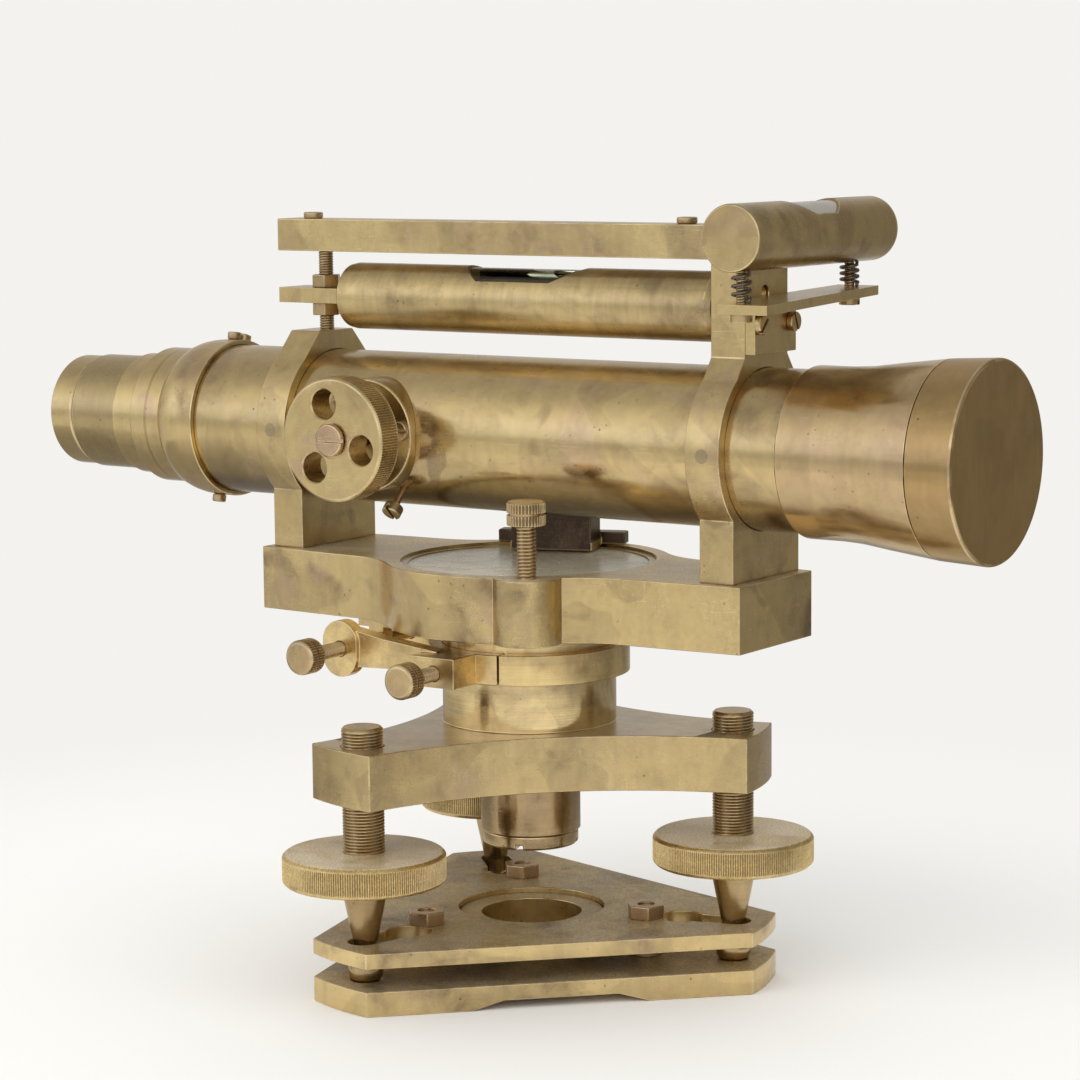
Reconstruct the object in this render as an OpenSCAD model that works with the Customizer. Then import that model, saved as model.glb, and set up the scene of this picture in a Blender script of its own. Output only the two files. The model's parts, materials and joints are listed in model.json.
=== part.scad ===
// Antique brass surveying level: a telescope in two fixed rings on a compass limb,
// a long spirit level and a cross level above it, and a three-screw levelling base.
// Millimetres. Z is up, X runs along the telescope towards the object glass, and the
// origin is on the vertical axis, in the plane that the base stands on.

/* [Base plates] */
// Distance from the vertical axis to the rounded corners of the two lower plates
plate_r = 65.7; // [60:0.1:72]
// Distance from the vertical axis to the straight sides of the two lower plates
plate_side = 42; // [38:0.5:46]
// Thickness of the base plate
base_t = 6.5; // [5:0.5:9]
// Gap between the base plate and the locking plate
plate_gap = 5.9; // [4.5:0.1:8]
// Thickness of the locking plate
lock_t = 4.1; // [3:0.1:6]
// Radius of the screwed hole for the tripod
tripod_r = 13.4; // [10:0.1:16]
// Radius of the boss that stands up through the locking plate
boss_r = 19.3; // [17:0.1:22]
// Depth of the hollows under the base plate between its three pads
arch_h = 2.3; // [1:0.1:3]
// Direction of the first foot screw, from the telescope's line
foot_turn = 15; // [-60:1:60]

/* [Foot screws] */
// Distance from the vertical axis to each foot screw
foot_r = 56.2; // [52:0.1:60]
// Radius of the screwed part of a foot screw
foot_thread_r = 5.4; // [4:0.1:6.5]
// Radius of the milled head of a foot screw
foot_knob_r = 21.1; // [16:0.1:23]
// Thickness of the milled head
foot_knob_t = 8; // [5:0.1:10]
// Height of the milled head's underside above the base's seat
foot_knob_z = 32; // [28:0.5:34]
// Radius of the ball at the foot of each screw
ball_r = 4.6; // [4:0.1:5.2]
// Length of screw that stands out above the three-armed plate
foot_stub = 5.1; // [2:0.1:10]

/* [Three-armed plate] */
// Distance from the vertical axis to the ends of the arms
arm_r = 64.5; // [60:0.1:70]
// Thickness of the three-armed plate
arm_t = 14.5; // [10:0.5:18]
// Height of the plate's underside above the base's seat
arm_z = 53; // [50:0.5:58]
// Least distance from the vertical axis to the hollowed sides
arm_waist = 28.5; // [25:0.1:34]
// Radius of the hub that stands on the plate
hub_r = 23.1; // [20:0.1:26]
// Radius of the bearing sleeve that hangs below the plate
sleeve_r = 13.3; // [11:0.1:15]
// Radius of the vertical spindle
spindle_r = 9.5; // [7:0.1:10.5]

/* [Limb] */
// Half the length of the limb that carries the telescope
limb_l = 75.8; // [70:0.1:82]
// Half the width of the limb at its ends
limb_w = 18; // [17:0.1:22]
// Height of the limb's top above the base's seat
limb_z = 110.5; // [106:0.1:115]
// Thickness of the limb
limb_t = 17; // [14:0.5:18]
// Radius of the round middle of the limb
limb_r = 38; // [37:0.1:42]
// Radius of the compass well in the limb
well_r = 33.9; // [28:0.1:34]
// Depth of the compass well
well_d = 7; // [6:0.1:9]
// How much wider an arm of the limb is at its root than at its end, on each side
limb_flare = 2; // [0:0.1:4]
// Radius of the concave blend between an arm and the round middle
limb_blend_r = 25; // [15:0.5:26]

/* [Clamp] */
// Outer radius of the clamp ring
collar_r = 26.8; // [26.5:0.1:30]
// Width of the clamp ring along the vertical axis
collar_t = 7.9; // [6:0.1:8.5]
// Radius of the milled heads of the clamp and slow-motion screws
thumb_r = 4.6; // [3.5:0.1:6]

/* [Telescope] */
// Height of the telescope's line of sight above the base's seat
scope_z = 143.2; // [141:0.1:148]
// Outer radius of the main tube
tube_r = 20.5; // [20.5:0.1:21.5]
// Wall of the main tube
tube_wall = 1.5; // [1:0.1:1.8]
// Outer radius of the sliding draw tube
draw_r = 16; // [14.5:0.1:16]
// Where the hood of the object glass begins
hood_x = 87.3; // [82:0.1:95]
// Where the hood ends and the dust cap begins
cap_x = 124.4; // [118:0.1:130]
// Thickness of the dust cap
cap_t = 12.7; // [8:0.1:16]
// How far the dust cap stands out past the hood
cap_flare = 3.6; // [2.9:0.1:6.4]
// Distance from the vertical axis to the eye end of the telescope
eye_x = 155.6; // [150:0.1:162]
// Radius of the focusing head
focus_r = 16.4; // [12:0.1:17]
// Distance from the vertical axis to the focusing shaft
focus_x = 36.2; // [32:0.1:40]

/* [Supports] */
// Wall of the two telescope rings
ring_wall = 2.8; // [2:0.1:5.5]
// Thickness of the two telescope rings
ring_t = 9.85; // [8:0.1:12]
// Distance from the vertical axis to the middle of each ring
ring_x = 68; // [65:0.1:70]
// Half the width of the square foot of each ring
ring_foot = 16.3; // [14:0.1:17]
// Half the width of the post on the forward ring
post_w = 10.6; // [8:0.1:12]

/* [Long level] */
// Gap between the telescope's tube and the long level's tube
level_gap = 5.85; // [5.05:0.05:8.55]
// Outer radius of the long level's tube
level_r = 8.95; // [8:0.05:9.2]
// Rear end of the long level's tube, behind the vertical axis
level_back = 54.5; // [50:0.1:56]
// Distance from the vertical axis to the adjusting stud
stud_x = 66.2; // [64:0.1:68]
// Height of the stay bar
bar_h = 8.7; // [6:0.1:10]
// Width of the stay bar
bar_w = 10; // [7:0.1:14]

/* [Cross level] */
// Outer radius of the cross level's tube
cross_r = 8.3; // [7.5:0.05:8.4]
// Length of the cross level's tube
cross_l = 70; // [62:0.5:76]
// Height of the cross level above the long level
cross_rise = 18.5; // [18.5:0.1:20.7]
// Radius of the wire in the two adjusting springs
wire_r = 0.45; // [0.3:0.01:0.45]
// Number of curls in the front adjusting spring
curls_front = 3; // [2:1:4]
// Number of curls in the rear adjusting spring, which is the shorter one
curls_rear = 3; // [2:1:3]

/* [Hidden] */
$fn = 64;

// Clearances
run = 0.05;
seat = 0.02;
air = 0.3;
eps = 0.01;

// Colours
brass = [0.71, 0.6, 0.38];
pale = [0.76, 0.67, 0.47];
dull = [0.6, 0.51, 0.34];
steel = [0.45, 0.43, 0.4];
glass = [0.8, 0.86, 0.84, 0.4];

// Feet
foot_angles = [foot_turn + 240, foot_turn, foot_turn + 120];
lock_z = base_t + plate_gap;
lock_top = lock_z + lock_t;
boss_top = lock_top - 1.5;
ball_z = base_t + 2.5;
neck_r = 3;
cone_r = 6.3;
slot_w = neck_r + 1;
key_r = 6;
key_x = foot_r - 14.2;
stud_r = 2.2;
stud_at = 33.5;
stud_turn = -6;
nut_r = 5.2;
nut_t = 3.6;
pad_reach = 15;
pad_ramp = 8;

// Vertical axis
arm_top = arm_z + arm_t;
limb_bottom = limb_z - limb_t;
hub_top = limb_bottom - 0.8;
sleeve_bottom = arm_z - 15;
nut_drop = 4;
flange_r = 20;

// Limb
dial_t = 0.8;
well_floor = limb_z - well_d;
glass_top = limb_z - 1.2;
glass_t = 1.4;
ring_lip = 2;
lift_angle = -56;
lift_at = 37.4;
lift_r = 2.5;
lift_head_r = 5;
lift_head_z = limb_z + 13.5;
lift_head_t = 6.4;
lift_boss_at = 35.8;
lift_boss_r = 8.7;

// Clamp
collar_top = limb_bottom - 4.9;
collar_z = collar_top - collar_t;
thumb_thread_r = 2;
thumb_t = 5.7;
clamp_x = -5;
clamp_z = collar_z + 3.6;
clamp_front = -36.5;
ear_x = -36.5;
ear_z = collar_z + 7.2;
ear_front = -35;
ear_t = 4;
tongue_front = -19;
tongue_t = 4;

// Telescope
bore_r = tube_r - tube_wall;
ring_r = tube_r + ring_wall;
tube_front = hood_x - 0.3;
tube_back = -99.8;
rack_z = scope_z - 4;
focus_z = scope_z + 0.1;
pinion_pitch_r = 4;
teeth = 16;
tooth_pitch = 2 * PI * pinion_pitch_r / teeth;
rack_teeth = 24;
shaft_r = 2.5;
housing_y = -(tube_r + 2.3);
housing_r = 15;
housing_screw_at = 12;
housing_turns = [8, 128, 248];
knob_back = housing_y - 6.4;
hole_turns = [-14, 106, 232];
friction_turn = 136;
friction_at = 5.9;
knob_t = 8;
knob_front = knob_back - knob_t;

flare_x = hood_x + 10;
hood_r = tube_r + 1.1;
cap_r = hood_r + cap_flare;
flare_r = cap_r - 0.6;
hood_bore = hood_r - 2;
lens_x = hood_x + 6;
collar_x = -111.7;
mount_r = tube_r + 1.35;
eye_r = 15.6;
eye_tube_r = 13.2;
step_r = mount_r - 2.95;
stop_x = -101.8;
stop_angles = [-8, -19, 167.5];

// Levels
level_z = scope_z + tube_r + level_gap + level_r;
ring_top = scope_z + ring_r + 2.5;
post_top = level_z + 12;
bar_top = post_top + bar_h;
bar_back = -79;
bar_front = ring_x + 1.2;
level_front = ring_x - ring_t / 2 - 3.3;
level_bore = 6.6;
vial_r = 6.3;
level_pin_r = 2;
level_stud_r = 2;
level_nut_r = 4.1;
tongue_h = 4.1;
post_face = ring_x + ring_t / 2;
cross_x = post_face + 6.2;
cross_z = level_z + cross_rise;
cross_front = -28;
cross_bore = 6.2;
strip_top = level_z + 2.6;
strip_t = 2.4;
strip_rise = 0.026;
spring_front = -22.6;
spring_rear = 31.2;
spring_r = 2.15;
cross_screw_r = 1.35;

module at_feet(k) rotate([0, 0, foot_angles[k]]) translate([foot_r, 0, 0]) children();
module along_x(x) translate([x, 0, scope_z]) rotate([0, 90, 0]) children();
module along_y(p) translate(p) rotate([-90, 0, 0]) children();

// A disc with a small bevel on both edges
module disc(r, h, b = 0.4) {
    rotate_extrude()
        polygon([[0, 0], [r - b, 0], [r, b], [r, h - b], [r - b, h], [0, h]]);
}

// A cheese-headed screw, head up, with its seat at zero: the shank goes down
module cheese_screw(head_r, head_t, shank_r, shank_l, slot = 0.9) {
    difference() {
        union() {
            disc(head_r, head_t, 0.25);
            translate([0, 0, -shank_l]) cylinder(r = shank_r, h = shank_l + eps);
        }
        translate([-head_r - 1, -slot / 2, head_t * 0.5]) cube([2 * head_r + 2, slot, head_t]);
    }
}

// The outline of the two lower plates: a triangle with its corners rounded off
module plate_outline() {
    intersection() {
        circle(r = plate_r, $fn = 180);
        rotate([0, 0, foot_turn]) polygon([for (k = [0:2]) 2 * plate_side * [cos(120 * k), sin(120 * k)]]);
    }
}

// A hollow under one side of the base plate
module arch() {
    hollow = [
        [-pad_reach - pad_ramp, -1], [-pad_reach - pad_ramp, 0], [-pad_reach, arch_h],
        [pad_reach, arch_h], [pad_reach + pad_ramp, 0], [pad_reach + pad_ramp, -1]
    ];
    translate([plate_r, 0, 0]) rotate([90, 0, -90])
        linear_extrude(height = plate_r - boss_r - 2) polygon(hollow);
}

module base_plate() {
    color(brass) difference() {
        union() {
            linear_extrude(height = base_t) plate_outline();
            cylinder(r = boss_r, h = boss_top);
        }
        translate([0, 0, -1]) cylinder(r = tripod_r, h = boss_top + 2);
        for (k = [0:2]) rotate([0, 0, foot_turn + 60 + 120 * k]) arch();
        for (k = [0:2]) at_feet(k) translate([0, 0, ball_z]) sphere(r = ball_r + air);
        for (k = [0:2]) rotate([0, 0, foot_angles[k] + stud_turn]) translate([stud_at, 0, -1])
            cylinder(r = stud_r + seat, h = base_t + 2);
    }
}

module locking_plate() {
    color(brass) difference() {
        translate([0, 0, lock_z]) linear_extrude(height = lock_t) difference() {
            plate_outline();
            circle(r = boss_r + 0.2);
            for (k = [0:2]) rotate([0, 0, foot_angles[k]]) {
                translate([key_x, 0]) circle(r = key_r);
                translate([foot_r + 0.8, 0]) circle(r = slot_w);
                translate([key_x, -slot_w]) square([foot_r + 0.8 - key_x, 2 * slot_w]);
            }
            for (k = [0:2]) rotate([0, 0, foot_angles[k] + stud_turn]) translate([stud_at, 0])
                circle(r = stud_r + seat);
        }
    }
}

module trivet_studs() {
    color(dull) for (k = [0:2]) rotate([0, 0, foot_angles[k] + stud_turn])
        translate([stud_at, 0, 0]) {
            translate([0, 0, arch_h]) cylinder(r = stud_r, h = lock_top + nut_t - 0.6 - arch_h);
            translate([0, 0, base_t]) cylinder(r = stud_r + 2, h = plate_gap);
        }
}

module trivet_nuts() {
    color(dull) for (k = [0:2]) rotate([0, 0, foot_angles[k] + stud_turn])
        translate([stud_at, 0, lock_top]) difference() {
            cylinder(r = nut_r, h = nut_t, $fn = 6);
            translate([0, 0, -1]) cylinder(r = stud_r + seat, h = nut_t + 2);
        }
}

module tribrach() {
    side_r = ((arm_r * sin(49.3)) ^ 2 + (arm_r * cos(49.3) - arm_waist) ^ 2)
        / (2 * (arm_r * cos(49.3) - arm_waist));
    color(brass) difference() {
        union() {
            translate([0, 0, arm_z]) difference() {
                cylinder(r = arm_r, h = arm_t, $fn = 180);
                for (k = [0:2]) rotate([0, 0, foot_turn + 60 + 120 * k])
                    translate([arm_waist + side_r, 0, -1]) cylinder(r = side_r, h = arm_t + 2, $fn = 180);
            }
            translate([0, 0, arm_z]) cylinder(r = hub_r, h = hub_top - arm_z);
        }
        translate([0, 0, arm_z - 1]) cylinder(r = sleeve_r + seat, h = hub_top - arm_z + 2);
        for (k = [0:2]) at_feet(k) translate([0, 0, arm_z - 1])
            cylinder(r = foot_thread_r + run, h = arm_t + 2);
    }
}

module bearing_sleeve() {
    color(brass) difference() {
        translate([0, 0, sleeve_bottom]) cylinder(r = sleeve_r, h = hub_top - sleeve_bottom);
        translate([0, 0, sleeve_bottom - 1]) cylinder(r = spindle_r + run, h = hub_top);
    }
}

module sleeve_nut() {
    nut_bottom = sleeve_bottom - nut_drop;
    color(brass) difference() {
        translate([0, 0, nut_bottom]) disc(sleeve_r - 0.6, nut_drop, 0.5);
        translate([0, 0, nut_bottom - 1]) cylinder(r = 5, h = nut_drop + 2);
        for (a = [0, 90]) rotate([0, 0, a + 20]) translate([-20, -1, nut_bottom - eps])
            cube([40, 2, 1.4]);
    }
}

module foot_screw() {
    top = arm_top + foot_stub;
    tip_z = lock_top + 0.3;
    color(pale) rotate_extrude() polygon(concat(
        [for (a = [-90:9:36]) [ball_r * cos(a), ball_z + ball_r * sin(a)]],
        [
            [neck_r, ball_z + sqrt(ball_r ^ 2 - neck_r ^ 2)], [neck_r, tip_z],
            [cone_r, foot_knob_z], [foot_thread_r, foot_knob_z], [foot_thread_r, top - 0.6],
            [foot_thread_r - 0.6, top], [0, top]
        ]
    ));
}

module foot_knob() {
    color(pale) translate([0, 0, foot_knob_z]) difference() {
        rotate_extrude() polygon([
            [foot_thread_r + seat, 0], [foot_knob_r - 1, 0], [foot_knob_r, 1],
            [foot_knob_r, foot_knob_t - 1], [foot_knob_r - 1, foot_knob_t],
            [foot_thread_r + seat, foot_knob_t]
        ], $fn = 96);
    }
}

module foot_screw_left() at_feet(0) foot_screw();
module foot_knob_left() at_feet(0) foot_knob();
module foot_screw_right() at_feet(1) foot_screw();
module foot_knob_right() at_feet(1) foot_knob();
module foot_screw_rear() at_feet(2) foot_screw();
module foot_knob_rear() at_feet(2) foot_knob();

module spindle() {
    bottom = sleeve_bottom + 0.4;
    color(dull) {
        translate([0, 0, bottom]) cylinder(r = spindle_r, h = limb_bottom - bottom);
        translate([0, 0, hub_top + 0.2]) cylinder(r = flange_r, h = limb_bottom - hub_top - 0.2);
    }
}

// A concave blend between the round middle and one long edge of an arm
module limb_blend() {
    r = limb_blend_r;
    edge = limb_w + limb_flare;
    cx = sqrt((limb_r + r) ^ 2 - (edge + r) ^ 2);
    k = limb_r / (limb_r + r);
    difference() {
        polygon([[0, 0], [cx, 0], [cx, edge], [cx * k, (edge + r) * k]]);
        translate([cx, edge + r]) circle(r = r, $fn = 128);
    }
}

// The limb seen from above: a round middle, two arms and the boss of the lift screw
module limb_outline() {
    edge = limb_w + limb_flare;
    circle(r = limb_r, $fn = 128);
    polygon([
        [-limb_l, -limb_w], [-44, -edge], [44, -edge], [limb_l, -limb_w],
        [limb_l, limb_w], [44, edge], [-44, edge], [-limb_l, limb_w]
    ]);
    for (m = [0, 1], n = [0, 1]) mirror([m, 0]) mirror([0, n]) limb_blend();
    rotate([0, 0, lift_angle]) translate([lift_boss_at, 0]) circle(r = lift_boss_r);
}

module limb() {
    color(brass) difference() {
        translate([0, 0, limb_bottom]) linear_extrude(height = limb_t) limb_outline();
        translate([0, 0, well_floor]) cylinder(r = well_r, h = well_d + 1, $fn = 128);
        rotate([0, 0, lift_angle]) translate([lift_at, 0, limb_bottom - 1])
            cylinder(r = lift_r + run, h = limb_t + 2);
        for (s = [-1, 1], t = [-1, 1]) translate([s * ring_x, t * 9, limb_bottom - 1]) {
            cylinder(r = 2 + seat, h = limb_t + 2);
            cylinder(r = 3.8, h = 4.5);
        }
    }
}

module compass_dial() {
    color(steel) translate([0, 0, well_floor]) {
        cylinder(r = well_r - 2.4, h = dial_t);
        cylinder(r1 = 1.6, r2 = 0.3, h = dial_t + 1.4);
    }
}

module compass_needle() {
    z = well_floor + dial_t + 1.6;
    color(steel) translate([0, 0, z]) {
        linear_extrude(height = 0.5) polygon([[-25, 0], [0, -1.9], [25, 0], [0, 1.9]]);
        cylinder(r = 2.4, h = 1);
    }
}

module compass_glass() {
    color(glass) translate([0, 0, glass_top - glass_t])
        cylinder(r = well_r - ring_lip, h = glass_t, $fn = 128);
}

module glass_ring() {
    color(brass) translate([0, 0, well_floor + 1]) difference() {
        cylinder(r = well_r - seat, h = glass_top - well_floor - 0.6, $fn = 128);
        translate([0, 0, -1]) cylinder(r = well_r - ring_lip - 1, h = well_d + 2, $fn = 128);
        translate([0, 0, glass_top - glass_t - well_floor - 1 - seat])
            cylinder(r = well_r - ring_lip + seat, h = well_d, $fn = 128);
    }
}

// A milled screw: a grooved head on a long plain stem
module milled_screw(head_r, head_t, stem_r, stem_l) {
    groove = 0.5;
    rotate_extrude() polygon([
        [0, -stem_l], [stem_r - 0.4, -stem_l], [stem_r, 0.4 - stem_l], [stem_r, 0],
        [head_r - 0.4, 0], [head_r, 0.4], [head_r, head_t * 0.42],
        [head_r - groove, head_t * 0.42], [head_r - groove, head_t * 0.52],
        [head_r, head_t * 0.52], [head_r, head_t - 0.7], [head_r - 0.8, head_t - 0.1],
        [0, head_t]
    ]);
}

module needle_lift_screw() {
    color(pale) rotate([0, 0, lift_angle]) translate([lift_at, 0, lift_head_z])
        milled_screw(lift_head_r, lift_head_t, lift_r, lift_head_z - limb_bottom - 1.5);
}

module limb_tongue() {
    color(brass) {
        translate([ear_x - 6, tongue_front, limb_bottom - 2]) cube([12, 10, 2]);
        translate([ear_x - 2.5, tongue_front, collar_z + 1])
            cube([5, tongue_t, limb_bottom - 2 - collar_z - 1 + eps]);
    }
}

// An upright oval plate that faces along Y
module ear(y, t) {
    for (s = [-1.9, 1.9]) along_y([ear_x, y, ear_z + s]) cylinder(r = 5.6, h = t);
    translate([ear_x - 5.6, y, ear_z - 1.9]) cube([11.2, t, 3.8]);
}

module clamp_collar() {
    color(brass) difference() {
        union() {
            translate([0, 0, collar_z]) cylinder(r = collar_r, h = collar_t);
            translate([clamp_x - 7.5, clamp_front, collar_z]) cube([14, -clamp_front - 22, collar_t]);
            translate([ear_x, ear_front + 5.4, 0]) rotate([0, 0, 8]) rotate([90, 0, 0])
                linear_extrude(height = 5) polygon([
                    [3, ear_z - 4.6], [3, ear_z + 5.4], [12, ear_z + 3.4], [28, collar_top + 0.4],
                    [31, collar_top - 2.4], [25, collar_top - 5]
                ]);
            translate([ear_x, -4, collar_z + 1.5]) cube([14, 5, 6.4]);
            ear(ear_front, ear_t);
            translate([ear_x - 4, -4, collar_z + 1.5]) cube([8, 5, 9]);
            along_y([ear_x, 0, ear_z]) cylinder(r = 3.6, h = 8);
        }
        translate([0, 0, collar_z - 3]) cylinder(r = hub_r + 0.1, h = collar_t + 9);
        along_y([clamp_x, clamp_front - 1, clamp_z]) cylinder(r = thumb_thread_r + run, h = 18);
        along_y([ear_x, ear_front - 1, ear_z]) cylinder(r = thumb_thread_r + run, h = ear_t + 8);
        along_y([ear_x, -5, ear_z]) cylinder(r = 1.6 + run, h = 11);
        translate([clamp_x + 12.5, -hub_r - 8, collar_z - 1]) cube([0.5, 10, collar_t + 2]);
    }
}

module clamp_pad() {
    color(dull) difference() {
        along_y([clamp_x, -27.4, clamp_z]) cylinder(r = thumb_thread_r, h = 6);
        translate([0, 0, collar_z - 3]) cylinder(r = hub_r + air, h = collar_t + 9);
    }
}

module clamp_screw() {
    color(pale) translate([clamp_x, clamp_front - 9.5, clamp_z]) rotate([90, 0, 0])
        milled_screw(thumb_r, thumb_t, thumb_thread_r, 9.5 - clamp_front - 27.7);
}

module tangent_screw() {
    head_y = ear_front - 11.6;
    color(pale) translate([ear_x, head_y, ear_z]) rotate([90, 0, 0])
        milled_screw(thumb_r, thumb_t, thumb_thread_r, tongue_front - air - head_y);
}

module plunger() {
    color(pale) along_y([ear_x, tongue_front + tongue_t + air, ear_z]) cylinder(r = 1.6, h = 19);
}

// A telescope ring on its square foot, with a flat top for the stud or a tall post
module support(x, flat) {
    foot = scope_z - limb_z;
    top = (flat ? ring_top : post_top) - scope_z;
    crown = flat
        ? [[-7.3, top], [-ring_r * 0.703, ring_r * 0.69], [-8, 8], [8, 8], [ring_r * 0.703, ring_r * 0.69], [7.3, top]]
        : [
            [-post_w, top], [-post_w, ring_r + 0.1], [-ring_r * 0.68, ring_r * 0.7], [-6, 8], [6, 8],
            [ring_r * 0.68, ring_r * 0.7], [post_w, ring_r + 0.1], [post_w, top]
        ];
    difference() {
        union() {
            along_x(x - ring_t / 2) cylinder(r = ring_r, h = ring_t, $fn = 128);
            translate([x - ring_t / 2, 0, scope_z]) rotate([90, 0, 90])
                linear_extrude(height = ring_t) polygon(crown);
            translate([x - ring_t / 2, -ring_foot, limb_z]) cube([ring_t, 2 * ring_foot, foot - 12]);
        }
        along_x(x - ring_t) cylinder(r = tube_r + seat, h = 2 * ring_t, $fn = 128);
    }
}

module foot_holes(x) {
    for (t = [-1, 1]) translate([x, t * 9, limb_z - 1]) cylinder(r = 2 + seat, h = 9);
}

module support_rear() {
    color(brass) difference() {
        support(-ring_x, true);
        foot_holes(-ring_x);
        translate([-stud_x, 0, ring_top - 4]) cylinder(r = level_stud_r + seat, h = 5);
    }
}

module support_front() {
    color(brass) difference() {
        support(ring_x, false);
        foot_holes(ring_x);
        translate([ring_x - ring_t, 0, level_z]) rotate([0, 90, 0])
            cylinder(r = level_pin_r + air, h = 1.5 * ring_t - 1);
        translate([post_face - 1.2, -0.6, level_z + 3.9]) rotate([0, 90, 0]) cylinder(r = 1.8, h = 3);
        for (t = [-1, 1]) translate([post_face + 1, t * 7.8 - 0.6, strip_top - 6.2]) rotate([0, -90, 0])
            cylinder(r = 1.3 + seat, h = 6);
    }
}

module support_screws() {
    color(dull) for (s = [-1, 1], t = [-1, 1])
        translate([s * ring_x, t * 9, limb_bottom + 3.5]) rotate([180, 0, 0])
            cheese_screw(3.6, 3, 2, limb_z + 7.5 - limb_bottom - 3.5);
}

module main_tube() {
    color(brass) difference() {
        along_x(tube_back) cylinder(r = tube_r, h = tube_front - tube_back, $fn = 128);
        along_x(tube_back - 1) cylinder(r = bore_r, h = 76 - tube_back, $fn = 128);
        along_x(70) cylinder(r = draw_r + run, h = 30, $fn = 128);
        along_y([-focus_x, -tube_r - 1, focus_z]) cylinder(r = 6, h = 8);
        translate([-focus_x + friction_at, 0, scope_z]) rotate([friction_turn, 0, 0])
            translate([0, 0, bore_r - 2]) cylinder(r = 1 + seat, h = 6);
    }
}

// A bracket behind the compass: a cross bar on the limb, and a block on the glass's ring
module rear_bracket() {
    ring_top = glass_top + 0.4;
    color(dull) rotate([0, 0, 18.8]) {
        translate([-17, 30, limb_z]) cube([35.7, 5, 3.4]);
        translate([-11, 20.7, ring_top]) cube([23, 9.4, 2.5]);
        translate([-10.7, 20.7, ring_top + 2.4]) cube([22.4, 10.4, scope_z - tube_r + 2 - ring_top]);
    }
}

draw_back = -12;
draw_head = hood_x + 1;

module draw_tube() {
    wall = 1.3;
    color(brass) difference() {
        union() {
            along_x(draw_back) cylinder(r = draw_r, h = draw_head - draw_back, $fn = 128);
            along_x(draw_back) cylinder(r = bore_r - run, h = 8, $fn = 128);
        }
        along_x(draw_back - 1) cylinder(r = draw_r - wall, h = 120, $fn = 128);
    }
}

// The rack lies along the draw tube's near side, with its teeth up
module focus_rack() {
    length = rack_teeth * tooth_pitch;
    start = -focus_x - (rack_teeth - 3) * tooth_pitch;
    front = -draw_r - 1.4;
    root = focus_z - pinion_pitch_r - 0.6;
    color(dull) {
        for (k = [0:rack_teeth - 1]) translate([start + k * tooth_pitch, front, root - eps])
            rotate([90, 0, 180])
                linear_extrude(height = 2.2)
                    polygon([[-0.42, 0], [0.42, 0], [0.2, 0.95], [-0.2, 0.95]]);
        translate([start - tooth_pitch, front, root - 2]) cube([length + 1, 2.2, 2]);
        translate([start + length - 4, front, root - 2]) cube([draw_back - start - length + 4, 2.2, 2]);
    }
}

module focus_pinion() {
    color(steel) {
        along_y([-focus_x, knob_front + 1, focus_z])
            cylinder(r = shaft_r, h = -draw_r - 1.6 - knob_front - 1);
        along_y([-focus_x, -draw_r - 1.6, focus_z]) {
            cylinder(r = pinion_pitch_r - 0.7, h = 2.4);
            for (k = [0:teeth - 1]) rotate([0, 0, (k + 0.5) * 360 / teeth])
                linear_extrude(height = 2.4) polygon([
                    [pinion_pitch_r - 1, -0.42], [pinion_pitch_r + 0.35, -0.2],
                    [pinion_pitch_r + 0.35, 0.2], [pinion_pitch_r - 1, 0.42]
                ]);
        }
    }
}

module pinion_housing() {
    color(brass) difference() {
        along_y([-focus_x, housing_y, focus_z]) disc(housing_r, 9.5, 0.4);
        along_x(-focus_x - 30) cylinder(r = tube_r + seat, h = 60, $fn = 128);
        along_y([-focus_x, housing_y - 1, focus_z]) cylinder(r = shaft_r + run, h = 20);
        for (a = housing_turns)
            along_y([-focus_x + housing_screw_at * cos(a), housing_y - 1, focus_z + housing_screw_at * sin(a)])
                cylinder(r = 1 + seat, h = 5);
    }
}

module housing_screws() {
    color(pale) for (a = housing_turns)
        translate([-focus_x + housing_screw_at * cos(a), housing_y, focus_z + housing_screw_at * sin(a)])
            rotate([90, 0, 0]) cheese_screw(2.6, 1.6, 1, 1.6, 0.7);
}

module focus_knob() {
    color(pale) difference() {
        along_y([-focus_x, knob_front, focus_z]) disc(focus_r, knob_t, 0.7);
        along_y([-focus_x, knob_front - 1, focus_z]) cylinder(r = shaft_r + seat, h = knob_t + 2);
        for (a = hole_turns)
            along_y([-focus_x + 9.6 * cos(a), knob_front - 1, focus_z + 9.6 * sin(a)])
                cylinder(r = 3.9, h = knob_t + 2);
    }
}

module knob_screw() {
    color(pale) translate([-focus_x, knob_front, focus_z]) rotate([90, 0, 0])
        cheese_screw(4.3, 1.6, shaft_r - 0.2, 0.9, 1);
}

module friction_screw() {
    color(pale) translate([-focus_x + friction_at, 0, scope_z]) rotate([friction_turn, 0, 0])
        translate([0, 0, tube_r + 5.6]) cheese_screw(2.6, 2.8, 1, 6.8);
}

module objective_hood() {
    color(brass) along_x(0) difference() {
        rotate_extrude($fn = 128) polygon([
            [draw_r + seat, hood_x], [hood_r - 0.4, hood_x], [hood_r, hood_x + 0.4],
            [hood_r, flare_x], [hood_r + 0.35, flare_x + 6], [hood_r + 1.3, flare_x + 13],
            [flare_r, cap_x], [hood_bore, cap_x], [hood_bore, lens_x + 5],
            [draw_r + 1, lens_x + 5], [draw_r + 1, lens_x], [draw_r + seat, lens_x]
        ]);
    }
}

module objective_lens() {
    color(glass) along_x(lens_x) rotate_extrude($fn = 96) polygon([
        [0, -1], [8, -0.6], [draw_r + 1 - seat, 0.4], [draw_r + 1 - seat, 4], [8, 5.4], [0, 6]
    ]);
}

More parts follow.
